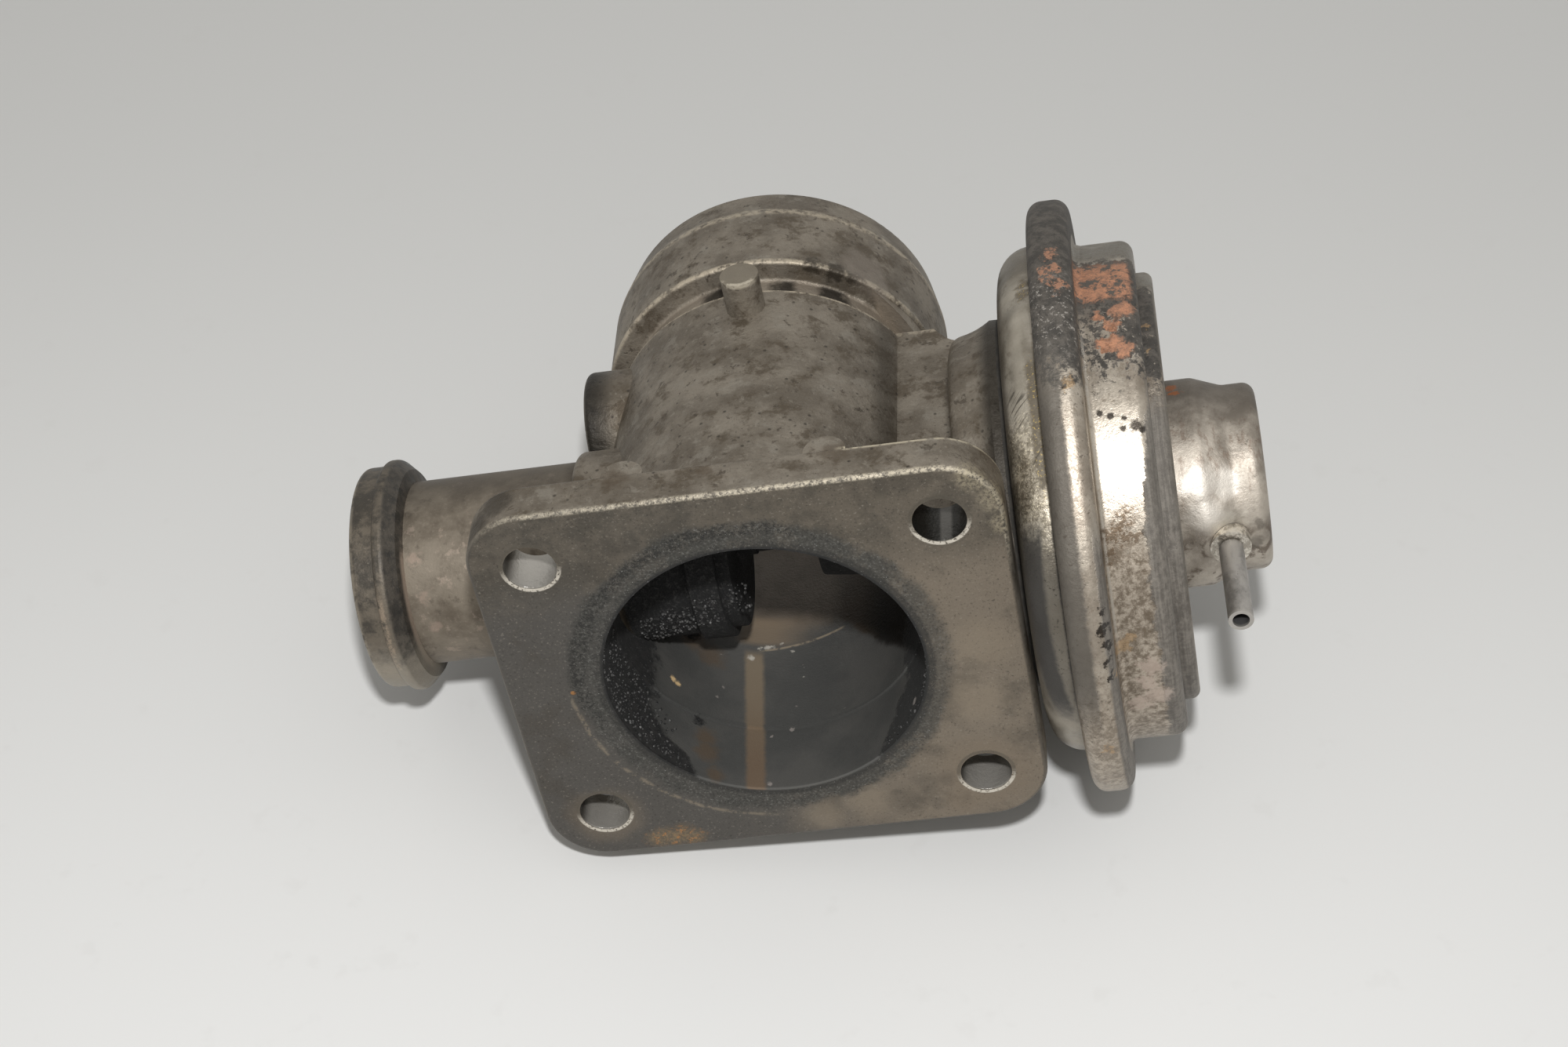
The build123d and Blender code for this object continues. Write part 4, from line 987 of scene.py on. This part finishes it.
# %% Back and end face, where angles would meet in a seam
def can_calm(f, colour):
    """The angle jumps at the bottom and bunches at the axis, so there the finish is plain."""
    f.rim_back = f.both(
        f.on_rim, f.either(f.fade(f.turn, 128.0, 150.0), f.fade(f.turn, -45.0, -80.0))
    )
    rim_paint = f.mix(f.fade(f.chips, 0.40, 0.60), tone(86, 82, 76), tone(122, 116, 107))
    colour = f.over(colour, f.rim_back, rim_paint, 1.0)
    shell_back = f.both(
        f.on_shell, f.either(f.fade(f.turn, 122.0, 145.0), f.fade(f.turn, -18.0, -30.0))
    )
    end_face = f.both(f.fade(f.off_valve_axis(), 35.1, 34.3), f.fade(f.x, 58.0, 62.0))
    f.calm = f.either(shell_back, end_face)
    satin = f.mix(f.fade(f.cloud, 0.36, 0.62), tone(116, 110, 101), tone(146, 139, 129))
    satin = f.over(satin, f.fade(f.flakes, 0.56, 0.66), tone(98, 88, 76), 0.6)
    satin = f.over(satin, f.fade(f.chips, 0.62, 0.70), tone(80, 72, 63), 0.5)
    return f.mix(f.calm, colour, satin)


# %% Shell finish: plated metal shines, scale and rust do not
def can_steel():
    f = Finish("can_steel")
    can_patterns(f)
    colour = can_marks(f, can_rust(f, can_plating(f)))
    colour = can_calm(f, colour)

    unplated = f.either(f.dark_shell, f.step_side, f.dark_rim, f.rim_side)
    shine = f.both(f.fade(unplated, 1.0, 0.0), f.fade(f.rusty, 1.0, 0.0))
    shine = f.either(f.both(shine, f.fade(f.shaded, 1.0, 0.0, low=0.35)), f.islands)
    shell_rough = f.fade(f.push(f.chips, f.grain, 0.7), 0.25, 0.75, low=0.24, high=0.46)
    rim_rough = f.fade(f.push(f.chips, f.grain, 0.9), 0.25, 0.75, low=0.34, high=0.56)
    rough = f.level(shine, 0.62, f.level(f.on_rim, shell_rough, rim_rough))
    rough = f.level(f.both(f.dull, shine), rough, 0.48)
    calm_rough = f.fade(f.flakes, 0.3, 0.7, low=0.40, high=0.56)
    rough = f.level(f.either(f.calm, f.rim_back), rough, calm_rough)
    shine = f.level(f.calm, f.level(f.rim_back, shine, 0.3), 0.8)
    f.set(Base_Color=colour, Metallic=f.level(shine, 0.25, 0.96), Roughness=rough)
    normal = f.bump(f.both(f.chips, f.fade(shine, 1.0, 0.0, low=0.25)), 0.5, 0.5)
    normal = f.bump(f.grain, 0.05, 0.5, normal)
    f.set(Normal=f.bump(f.cloud, 1.0, 0.12, normal))
    return f


coat(["actuator_shell"], can_steel())

# %% [markdown]
# ## Vacuum can: the dish
# The dish is the pressed half behind the rim. It kept a satin plating at the top and was
# blasted to a gold sparkle where the casting's edge is near. On the flange side it is painted
# nearly black in a curved streak and along the rim, and painted shadow darkens its root by
# the casting. Each zone is a range of angle, pushed to and fro by noise.

# %% Plating, blasted zone and stains
def dish_zones(f):
    f.turn = f.around()
    f.cloud = f.noise(8.0, detail=5.0)
    f.blots = f.noise(2.4, detail=5.0, roughness=0.7, shift=5.0)
    f.grain = f.noise(0.32, detail=2.0, roughness=0.6)
    f.ragged = f.torn(1.3, 3.2, shift=2.0)
    colour = f.mix(f.fade(f.cloud, 0.35, 0.65), tone(134, 127, 115), tone(172, 165, 153))
    colour = f.over(colour, f.fade(f.blots, 0.56, 0.68), tone(108, 100, 88), 0.6)
    back = f.fade(f.push(f.turn, f.cloud, 16.0), -4.0, -16.0)
    colour = f.over(colour, back, tone(104, 98, 88), 0.6)
    lit = f.both(
        f.band(f.push(f.x, f.blots, 1.0), 45.4, 47.0, 0.5),
        f.band(f.push(f.turn, f.cloud, 20.0), 0.0, 44.0, 8.0),
    )
    colour = f.over(colour, lit, tone(182, 175, 162), 0.4)
    blasted = f.band(f.push(f.turn, f.blots, 22.0), 34.0, 64.0, 6.0)
    coarse = f.fade(f.noise(0.8, detail=2.0, shift=7.0), 0.40, 0.60)
    gold = f.mix(coarse, tone(152, 143, 127), tone(206, 196, 178))
    colour = f.over(colour, blasted, gold, 0.85)
    sparkle = f.both(blasted, f.fade(f.grain, 0.56, 0.70))
    colour = f.over(colour, sparkle, tone(240, 229, 202), 0.9)
    colour = f.over(colour, f.both(blasted, f.fade(f.grain, 0.42, 0.30)), tone(86, 79, 66), 0.5)
    by_fold = f.both(
        f.fade(f.push(f.x, f.blots, 2.2), 46.9, 47.6),
        f.band(f.push(f.turn, f.blots, 14.0), 18.0, 50.0, 4.0),
    )
    f.stain = f.either(
        by_fold, f.patches(f.ragged, [(48.0, 38.0, 41.5, 1.5), (47.6, 35.0, 42.0, 1.3)])
    )
    colour = f.over(colour, f.stain, tone(78, 68, 50), 0.75)
    amber = f.both(f.stain, f.fade(f.grain, 0.60, 0.70))
    return f.over(colour, amber, tone(206, 176, 98), 0.75)


# %% Scratches, painted shade along a fold, a dark streak, and painted shadow at the root
def dish_marks(f, colour):
    slanted = f.math("ADD", f.y, f.math("MULTIPLY", f.x, -0.55))
    stretched = f.join(f.math("MULTIPLY", slanted, 1.5), f.math("MULTIPLY", f.x, 0.22), 0.0)
    brushed = f.node("ShaderNodeTexNoise", Vector=stretched, Scale=1.0, Detail=3.0, Roughness=0.6)
    claw = f.both(
        f.fade(brushed.outputs["Fac"], 0.50, 0.60),
        f.patches(f.ragged, [(45.4, 15.0, 34.8, 2.3), (46.2, 13.4, 33.8, 1.8)], soft=0.5),
    )
    colour = f.over(colour, claw, tone(64, 60, 53), 0.75)
    # painted shade along a fold in the dish, near the flange's corner
    across_fold = f.push(f.math("ADD", f.y, f.math("MULTIPLY", f.x, -0.9)), f.blots, 1.6)
    fold_shade = f.both(
        f.band(across_fold, -35.8, -35.5, 0.12), f.fade(f.x, 46.0, 47.5), f.fade(f.z, 20.0, 24.0)
    )
    colour = f.over(colour, fold_shade, tone(52, 46, 38), 0.7)

    # a dark curved streak on the flange side, and a dark band along the rim
    from_76 = f.math("SUBTRACT", f.turn, 76.0)
    bow = f.math("ADD", f.math("MULTIPLY", f.both(from_76, from_76), 0.0021), 44.6)
    across = f.push(f.math("SUBTRACT", f.x, bow), f.blots, 1.0)
    run = f.both(
        f.band(across, -1.5, 1.7, 0.5), f.band(f.push(f.turn, f.blots, 10.0), 56.0, 106.0, 4.0)
    )
    by_rim = f.both(
        f.fade(f.push(f.x, f.blots, 1.0), 48.3, 48.9), f.band(f.turn, 52.0, 110.0, 5.0)
    )
    f.oil_run = f.either(run, by_rim)
    colour = f.over(colour, f.band(f.turn, 58.0, 108.0, 8.0), tone(104, 99, 91), 0.8)
    colour = f.over(colour, f.oil_run, tone(44, 42, 40), 0.9)
    grit = f.fade(f.noise(0.6, detail=3.0, roughness=0.7, shift=3.0), 0.58, 0.66)
    pepper = f.both(f.band(f.turn, 56.0, 96.0, 8.0), grit)
    colour = f.over(colour, pepper, tone(40, 38, 36), 0.5)
    low = f.fade(f.push(f.turn, f.blots, 14.0), 98.0, 112.0)
    colour = f.over(colour, low, tone(150, 143, 132), 0.5)
    # painted shadow at the root of the dish, by the casting
    root_shadow = f.both(f.fade(f.x, 44.4, 43.2), f.fade(f.turn, 100.0, 90.0))
    return f.over(colour, root_shadow, tone(52, 47, 40), 0.7)


# %% Dish finish
def dish_steel():
    f = Finish("dish_steel")
    colour = dish_marks(f, dish_zones(f))
    hidden = f.either(f.fade(f.turn, 125.0, 150.0), f.fade(f.turn, -60.0, -95.0))
    calm = f.mix(f.fade(f.blots, 0.40, 0.62), tone(132, 126, 115), tone(104, 97, 86))
    colour = f.over(colour, hidden, calm, 0.9)
    unplated = f.either(f.stain, f.oil_run)
    rough = f.fade(f.push(f.cloud, f.grain, 0.5), 0.30, 0.70, low=0.34, high=0.52)
    f.set(Base_Color=colour, Metallic=f.level(unplated, 0.85, 0.1))
    f.set(Roughness=f.level(unplated, rough, 0.6))
    dents = f.noise(9.0, detail=1.0, shift=33.0)
    f.set(Normal=f.bump(dents, 5.0, 0.35, f.bump(f.grain, 0.12, 0.6)))
    return f


coat(["actuator_dish"], dish_steel())

# %% [markdown]
# ## End cap, brazing and nipple
# The cap is drawn steel, brushed and brown with age. A thin steel nipple is brazed into its
# side, and the heat of that joint has cracked the brown skin round it. The brazing metal is
# lumpy and pale, so it gets its own finish.

# %% Cap: brown skin with a painted gleam and painted highlights on it
def cap_paint(f):
    colour = f.mix(f.fade(f.cloud, 0.34, 0.64), tone(146, 138, 128), tone(184, 176, 165))
    rubbed_off = f.noise(2.6, detail=5.0, roughness=0.7, stretch=(2.2, 1.0, 0.7), shift=50.0)
    brown = f.both(
        f.band(f.push(f.turn, f.blots, 30.0), 8.0, 60.0, 8.0), f.fade(rubbed_off, 0.50, 0.64)
    )
    colour = f.over(colour, brown, tone(118, 100, 87), 0.5)
    over_top = f.fade(f.push(f.turn, f.cloud, 24.0), 26.0, -8.0)
    colour = f.over(colour, over_top, tone(96, 90, 83), 0.7)
    colour = f.over(colour, f.fade(f.blots, 0.62, 0.70), tone(82, 74, 66), 0.6)
    cracks = f.both(
        f.fade(f.cells(4.2, shift=3.0), 0.50, 0.62),
        f.fade(f.blots, 0.42, 0.55),
        f.fade(f.turn, 78.0, 90.0),
    )
    colour = f.over(colour, cracks, tone(84, 70, 58), 0.7)
    rust = f.patches(f.ragged, [(68.9, 39.7, 16.5, 1.0), (69.2, 37.5, 16.8, 0.8)])
    colour = f.over(colour, rust, tone(170, 106, 66), 0.8)
    # painted highlight: a broad gleam on the cap's left
    gleam_spots = [(71.8, 21.5, 10.5, 2.8), (72.2, 19.0, 6.0, 2.6), (75.5, 22.4, 9.4, 2.2)]
    gleam = f.patches(f.torn(1.0, 3.0, shift=6.0), gleam_spots, soft=0.6)
    colour = f.over(colour, gleam, tone(226, 220, 211), 0.75)
    # painted shade along a fold in the cap
    fold = f.patches(f.ragged, [(79.3, 19.6, -1.1, 1.6), (80.4, 19.8, 2.4, 1.0)])
    colour = f.over(colour, fold, tone(104, 98, 90), 0.6)
    # painted highlight on the bulge above the nipple
    bulge_highlights = [(73.4, 19.0, 3.4, 1.3), (76.0, 19.0, 4.2, 1.7), (78.0, 19.4, 3.6, 1.2)]
    return f.over(colour, f.patches(f.ragged, bulge_highlights), tone(206, 200, 188), 0.5)


def cap_steel():
    f = Finish("cap_steel")
    f.turn = f.around()
    f.cloud = f.noise(6.0, detail=5.0, roughness=0.65)
    f.blots = f.noise(2.2, detail=5.0, roughness=0.75, shift=5.0)
    f.ragged = f.torn(1.0, 2.4, shift=2.0)
    grain = f.noise(0.4, detail=2.0, roughness=0.6)
    colour = cap_paint(f)
    cap_end = f.both(f.fade(f.off_valve_axis(), 13.6, 12.6), f.fade(f.x, 78.0, 80.0))
    calm = f.either(cap_end, f.fade(f.turn, 128.0, 150.0), f.fade(f.turn, -25.0, -50.0))
    worn = f.mix(f.fade(f.cloud, 0.34, 0.64), tone(112, 105, 96), tone(142, 135, 125))
    worn = f.over(worn, f.fade(f.blots, 0.58, 0.68), tone(92, 84, 74), 0.6)
    colour = f.over(colour, calm, worn, 1.0)
    streaky = f.push(f.push(f.cloud, f.blots, 0.6), grain, 0.5)
    rough = f.fade(streaky, 0.25, 0.75, low=0.46, high=0.62)
    f.set(Base_Color=colour, Metallic=0.92, Roughness=rough)
    bulge = f.patches(f.place, [(76.0, 17.6, 2.8, 5.2)], soft=0.45)
    dents = f.noise(7.0, detail=1.0, stretch=(1.0, 0.6, 0.6), shift=18.0)
    normal = f.bump(f.blots, 0.25, 0.5, f.bump(grain, 0.05, 0.5))
    f.set(Normal=f.bump(bulge, 1.2, 0.45, f.bump(dents, 3.0, 0.22, normal)))
    return f


coat(["end_cap"], cap_steel())


# %% Brazing metal and nipple
NIPPLE_X_MM = 75.5


def braze_metal():
    f = Finish("braze_metal")
    lumps = f.noise(1.2, detail=4.0)
    colour = f.mix(f.fade(lumps, 0.38, 0.62), tone(158, 151, 140), tone(226, 220, 208))
    f.set(Base_Color=colour, Metallic=0.8)
    f.set(Roughness=f.fade(lumps, 0.3, 0.7, low=0.28, high=0.5), Normal=f.bump(lumps, 0.5, 0.8))
    return f


def nipple_steel():
    """Dull drawn tube with a bright end; the dark of its bore starts just inside."""
    f = Finish("nipple_steel")
    cloud = f.noise(3.0, detail=4.0, stretch=(1.0, 0.5, 1.0))
    scuffs = f.noise(0.9, detail=4.0, roughness=0.75, shift=8.0)
    colour = f.mix(f.fade(cloud, 0.36, 0.62), tone(134, 131, 127), tone(172, 168, 163))
    colour = f.over(colour, f.fade(scuffs, 0.62, 0.72), tone(196, 190, 180), 0.55)
    colour = f.over(colour, f.fade(scuffs, 0.40, 0.30), tone(66, 62, 58), 0.5)
    colour = f.over(colour, f.fade(f.y, 0.7, 0.2), tone(178, 174, 168), 0.7)
    off_axis = f.vector("LENGTH", f.join(f.math("SUBTRACT", f.x, NIPPLE_X_MM), 0.0, f.z))
    in_bore_wall = f.both(f.fade(off_axis, 1.5, 1.38), f.fade(f.y, 0.1, 0.6))
    colour = f.over(colour, in_bore_wall, tone(96, 96, 98), 0.8)
    rough = f.fade(scuffs, 0.3, 0.7, low=0.38, high=0.55)
    f.set(Base_Color=colour, Metallic=0.7, Roughness=rough)
    f.set(Normal=f.bump(scuffs, 0.12, 0.4))
    return f


coat(["nipple_collar"], braze_metal())
coat(["vacuum_nipple"], nipple_steel())

# %% [markdown]
# ## Pieces inside
# The seat, the valve head and the stem stand in exhaust gas, so they are black and crusty.
# The rest is hidden in the can, where a plain finish with a little cloud in it is enough.

# %% Soot, bronze, rubber, plated steel
def sooty_steel():
    f = Finish("sooty_steel")
    grit = f.noise(0.9, detail=4.0, roughness=0.75, shift=6.0)
    colour = f.mix(f.fade(grit, 0.50, 0.68), tone(24, 24, 24), tone(64, 63, 62))
    f.set(Base_Color=colour, Metallic=0.0, Roughness=0.85, Normal=f.bump(grit, 0.9, 0.9))
    return f


def plain(name, dark, pale, size, metallic, rough):
    f = Finish(name)
    cloud = f.noise(size, detail=5.0)
    f.set(Base_Color=f.mix(f.fade(cloud, 0.35, 0.65), dark, pale), Metallic=metallic)
    f.set(Roughness=f.fade(cloud, 0.3, 0.7, low=rough, high=rough + 0.2))
    f.set(Normal=f.bump(f.noise(size / 8.0), 0.05, 0.5))
    return f


coat(["valve_seat", "poppet", "stem"], sooty_steel())
bronze = plain("bush_bronze", (0.16, 0.10, 0.045), (0.28, 0.19, 0.09), 4.0, 0.9, 0.35)
coat(["stem_scraper", "guide_bush"], bronze)
rubber = plain("black_rubber", (0.012, 0.012, 0.012), (0.03, 0.03, 0.03), 5.0, 0.0, 0.6)
coat(["stem_seal", "diaphragm"], rubber)
fibre = plain("gasket_sheet", (0.020, 0.018, 0.015), (0.050, 0.045, 0.038), 2.0, 0.0, 0.8)
coat(["actuator_gasket"], fibre)
zinc = plain("plated_steel", (0.28, 0.27, 0.24), (0.45, 0.43, 0.38), 6.0, 1.0, 0.3)
coat(["seal_retainer", "backing_plate", "piston_cup", "lock_washer", "stem_nut"], zinc)
coat(["spring_seat", "dish_screws"], zinc)
wire = plain("spring_steel", (0.10, 0.10, 0.11), (0.22, 0.21, 0.20), 8.0, 1.0, 0.35)
coat(["return_spring"], wire)

# %% [markdown]
# ## Soot crumbs
# Exhaust soot bakes into hard crumbs on the end of the gas tube and round the mouth of the
# bore. They could be painted, but real lumps catch the lamp and break the outlines. Each
# crust starts as a thin sheet of faces bent along the metal. A Geometry Nodes tree scatters
# points on it, puts a small uneven stone on each, and the sheet itself is thrown away.

# %% The crumbs' own finish
def crumb_soot():
    f = Finish("crumb_soot")
    shade = f.noise(0.7, detail=3.0, roughness=0.7)
    colour = f.mix(f.fade(shade, 0.42, 0.64), tone(24, 24, 24), tone(92, 91, 90))
    rough = f.fade(shade, 0.3, 0.7, low=0.68, high=0.42)
    f.set(Base_Color=colour, Metallic=0.0, Roughness=rough)
    f.set(Normal=f.bump(f.noise(0.2), 0.05, 0.5))
    return f


# %% Named inputs of the crumb tree
TREE_INPUTS = (
    ("Sheet", "NodeSocketGeometry", None),
    ("Crumbs per square metre", "NodeSocketFloat", 2.0e6),
    ("Smallest radius", "NodeSocketFloat", 0.00012),
    ("Largest radius", "NodeSocketFloat", 0.0004),
    ("Seed", "NodeSocketInt", 1),
)


def named_inputs(tree):
    """Adds the inputs; a modifier is set later by the identifiers that this returns."""
    sockets = {}
    for name, kind, value in TREE_INPUTS:
        socket = tree.interface.new_socket(name=name, in_out="INPUT", socket_type=kind)
        if value is not None:
            socket.default_value = value
        sockets[name] = socket.identifier
    tree.interface.new_socket(name="Crumbs", in_out="OUTPUT", socket_type="NodeSocketGeometry")
    return sockets


# %% Scatter, shape and paint the stones
def crumb_tree(material):
    """The tree, and the identifier of each of its named inputs."""
    tree = bpy.data.node_groups.new("soot_crumbs", "GeometryNodeTree")
    sockets = named_inputs(tree)

    def add(kind, **settings):
        made = tree.nodes.new(kind)
        for name, value in settings.items():
            setattr(made, name, value)
        return made

    given, out = add("NodeGroupInput"), add("NodeGroupOutput")
    scatter = add("GeometryNodeDistributePointsOnFaces")
    stone = add("GeometryNodeMeshIcoSphere")
    stone.inputs["Radius"].default_value = 1.0
    stone.inputs["Subdivisions"].default_value = 1
    size = add("FunctionNodeRandomValue", data_type="FLOAT")
    squash = add("FunctionNodeRandomValue", data_type="FLOAT_VECTOR")
    squash.inputs[0].default_value = (0.6, 0.6, 0.6)
    squash.inputs[1].default_value = (1.0, 1.0, 1.0)
    spin = add("FunctionNodeRandomValue", data_type="FLOAT_VECTOR")
    spin.inputs[1].default_value = (6.28, 6.28, 6.28)
    scaled = add("ShaderNodeVectorMath", operation="SCALE")
    place = add("GeometryNodeInstanceOnPoints")
    real = add("GeometryNodeRealizeInstances")
    paint = add("GeometryNodeSetMaterial")
    paint.inputs["Material"].default_value = material
    for start, end in (
        (given.outputs["Sheet"], scatter.inputs["Mesh"]),
        (given.outputs["Crumbs per square metre"], scatter.inputs["Density"]),
        (given.outputs["Seed"], scatter.inputs["Seed"]),
        (given.outputs["Smallest radius"], size.inputs[2]),
        (given.outputs["Largest radius"], size.inputs[3]),
        (given.outputs["Seed"], size.inputs["Seed"]),
        (squash.outputs[0], scaled.inputs[0]),
        (size.outputs[1], scaled.inputs["Scale"]),
        (scatter.outputs["Points"], place.inputs["Points"]),
        (stone.outputs["Mesh"], place.inputs["Instance"]),
        (spin.outputs[0], place.inputs["Rotation"]),
        (scaled.outputs[0], place.inputs["Scale"]),
        (place.outputs["Instances"], real.inputs["Geometry"]),
        (real.outputs["Geometry"], paint.inputs["Geometry"]),
        (paint.outputs["Geometry"], out.inputs["Crumbs"]),
    ):
        tree.links.new(start, end)
    return tree, sockets


crumbs_tree, crumb_sockets = crumb_tree(crumb_soot().material)
print("inputs of the crumb tree:", ", ".join(crumb_sockets))


# %% Sheets of faces where the soot sits
def bent_sheet(point, columns, rows):
    """Faces over point(u, v), with u and v both running from 0 to 1; point gives millimetres."""
    corners = [
        Vector(point(i / columns, j / rows)) / 1000.0
        for j in range(rows + 1)
        for i in range(columns + 1)
    ]
    wide = columns + 1
    faces = [
        (j * wide + i, j * wide + i + 1, (j + 1) * wide + i + 1, (j + 1) * wide + i)
        for j in range(rows)
        for i in range(columns)
    ]
    return corners, faces


def round_tube(x, degrees, radius):
    """A point on a tube that lies along the valve axis; 0 degrees is up, 90 the flange side."""
    turn = math.radians(degrees)
    return (x, VALVE_AXIS_MM - radius * math.sin(turn), radius * math.cos(turn))


def in_bore(degrees, y, radius):
    """A point on the wall of the duct bore; 0 degrees is its floor, 90 the can side."""
    turn = math.radians(degrees)
    return (radius * math.sin(turn), y, -radius * math.cos(turn))


TUBE_CRUST_RADIUS_MM = 15.7
SEAT_CRUST_RADIUS_MM = 16.8
HEAD_CRUST_RADIUS_MM = 15.25


def on_tube_end(u, v):
    degrees = 102.0 - 12.0 * u + (34.0 - 8.0 * u) * v
    return round_tube(-23.0 + 10.0 * u, degrees, TUBE_CRUST_RADIUS_MM)


def on_seat(u, v):
    return round_tube(-12.7 + 4.2 * u, 84.0 + 24.0 * v, SEAT_CRUST_RADIUS_MM)


def on_valve_head(u, v):
    return round_tube(-7.5 + 4.2 * u, 80.0 + 26.0 * v, HEAD_CRUST_RADIUS_MM)


def on_left_wall(u, v):
    return in_bore(-92.0 + 46.0 * u, 1.2 + (20.0 - 12.0 * u) * v, MOUTH_RADIUS_MM)


def round_mouth(u, v):
    return in_bore(38.0 + 284.0 * u, 1.0 + 1.8 * v, MOUTH_RADIUS_MM)


# %% Scatter the crumbs
FACES_OF_A_CRUMB = 20


def crust(name, sheets, body, slot, **settings):
    """Crumbs over all the sheets as one plain mesh that rides on a body."""
    corners, faces = [], []
    for point, columns, rows in sheets:
        more_corners, more_faces = bent_sheet(point, columns, rows)
        faces += [tuple(len(corners) + i for i in face) for face in more_faces]
        corners += more_corners
    sheet = bpy.data.meshes.new(name + "_sheet")
    sheet.from_pydata(corners, [], faces)
    maker = bpy.data.objects.new(name + "_maker", sheet)
    bpy.context.scene.collection.objects.link(maker)
    modifier = maker.modifiers.new("crumbs", "NODES")
    modifier.node_group = crumbs_tree
    for input_name, value in settings.items():
        modifier[crumb_sockets[input_name.replace("_", " ")]] = value
    evaluated = maker.evaluated_get(bpy.context.evaluated_depsgraph_get())
    mesh = bpy.data.meshes.new_from_object(evaluated)
    mesh.name = name
    bpy.data.objects.remove(maker)
    piece = bpy.data.objects.new(name, mesh)
    bpy.context.scene.collection.objects.link(piece)
    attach(piece, body)
    print(name, "crumbs:", len(mesh.polygons) // FACES_OF_A_CRUMB)


crust(
    "soot_on_tube_end",
    [(on_tube_end, 16, 12), (on_seat, 6, 10)],
    "valve_body",
    "seat_steel",
    Crumbs_per_square_metre=1.9e6,
    Largest_radius=0.00045,
    Seed=4,
)
crust(
    "soot_on_valve_head",
    [(on_valve_head, 6, 10)],
    "valve",
    "poppet_steel",
    Crumbs_per_square_metre=1.9e6,
    Largest_radius=0.0004,
    Seed=9,
)
crust(
    "soot_in_bore",
    [(on_left_wall, 16, 12), (round_mouth, 80, 2)],
    "valve_body",
    "cast_aluminium",
    Crumbs_per_square_metre=1.1e6,
    Largest_radius=0.0004,
    Seed=6,
)

# %% [markdown]
# ## Floor
# The valve doesn't stand upright. It rests on its clamp flange, its can and a corner of its
# face, so the floor is a tilted plane just under those points. It is a wide disc of plain
# pale paper, painted a little greyer towards the back, where the lamp's light falls off.

# %% Floor under the resting valve
FLOOR_RADIUS = 2.5
FLOOR_SIDES = 64
floor_normal = Vector((0.171, -0.195, 0.965)).normalized()
lowest = min(floor_normal.dot(v.co) for n in nodes.values() for v in n.data.vertices)
side = floor_normal.orthogonal().normalized()
other = floor_normal.cross(side)
angles = [2.0 * math.pi * i / FLOOR_SIDES for i in range(FLOOR_SIDES)]
edge = [
    floor_normal * lowest + (side * math.cos(a) + other * math.sin(a)) * FLOOR_RADIUS
    for a in angles
]
floor_mesh = bpy.data.meshes.new("floor")
floor_mesh.from_pydata(edge, [], [list(range(FLOOR_SIDES))])
floor = bpy.data.objects.new("floor", floor_mesh)
bpy.context.scene.collection.objects.link(floor)
paper = Finish("pale_paper")
# painted falloff: the floor is paler in front, nearer the lamp, and greyer towards the back
lamp_falloff = paper.fade(paper.y, 190.0, -90.0)
paper_tone = paper.mix(lamp_falloff, (0.74, 0.74, 0.725), (0.86, 0.86, 0.85))
paper_fleck = paper.fade(paper.noise(9.0, detail=3.0, shift=3.0), 0.62, 0.74)
paper.set(Base_Color=paper.over(paper_tone, paper_fleck, (0.70, 0.69, 0.67), 0.15), Roughness=0.6)
floor_mesh.materials.append(paper.material)
print("floor height under the origin, mm:", round(lowest * 1000.0, 1))

# %% [markdown]
# ## Light
# One small lamp gives the crisp shadows and the glare on the can. A pale room fills the
# rest: its light is low on the floor and the valve, but rays that mirror in metal see it
# brighter, so that plated steel doesn't go black.

# %% Lamp
LAMP_DIRECTION = (0.174, -0.614, 0.770)
LAMP_DISTANCE = 0.53
LAMP_SIZE = 0.03
LAMP_WATTS = 2.1
lamp_data = bpy.data.lights.new("key", "AREA")
lamp_data.shape = "DISK"
lamp_data.size = LAMP_SIZE
lamp_data.energy = LAMP_WATTS
lamp = bpy.data.objects.new("key", lamp_data)
aim = Vector(LAMP_DIRECTION).normalized()
lamp_turn = aim.to_track_quat("Z", "Y").to_matrix().to_4x4()
lamp.matrix_world = Matrix.Translation(aim * LAMP_DISTANCE) @ lamp_turn
bpy.context.scene.collection.objects.link(lamp)
print("lamp at", [round(v, 3) for v in aim * LAMP_DISTANCE])

# %% Pale room
ROOM_LIGHT = 0.34
SEEN_BEHIND = 0.02
SEEN_IN_METAL = 0.38
ROOM_COLOUR = (1.0, 0.985, 0.95, 1.0)
world = bpy.data.worlds.new("pale_room")
bpy.context.scene.world = world
world.use_nodes = True
tree = world.node_tree
background = tree.nodes["Background"]
rays = tree.nodes.new("ShaderNodeLightPath")
strength = tree.nodes.new("ShaderNodeValue")
strength.outputs[0].default_value = ROOM_LIGHT
total = strength.outputs[0]
for ray, extra in (
    ("Is Camera Ray", SEEN_BEHIND),
    ("Is Glossy Ray", SEEN_IN_METAL),
    ("Is Transmission Ray", SEEN_IN_METAL),
):
    step = tree.nodes.new("ShaderNodeMath")
    step.operation = "MULTIPLY_ADD"
    step.inputs[1].default_value = extra
    tree.links.new(rays.outputs[ray], step.inputs[0])
    tree.links.new(total, step.inputs[2])
    total = step.outputs[0]
background.inputs["Color"].default_value = ROOM_COLOUR
tree.links.new(total, background.inputs["Strength"])
print("room light", ROOM_LIGHT, "and in metal", ROOM_LIGHT + SEEN_IN_METAL)

bpy.context.scene.view_settings.view_transform = "Standard"
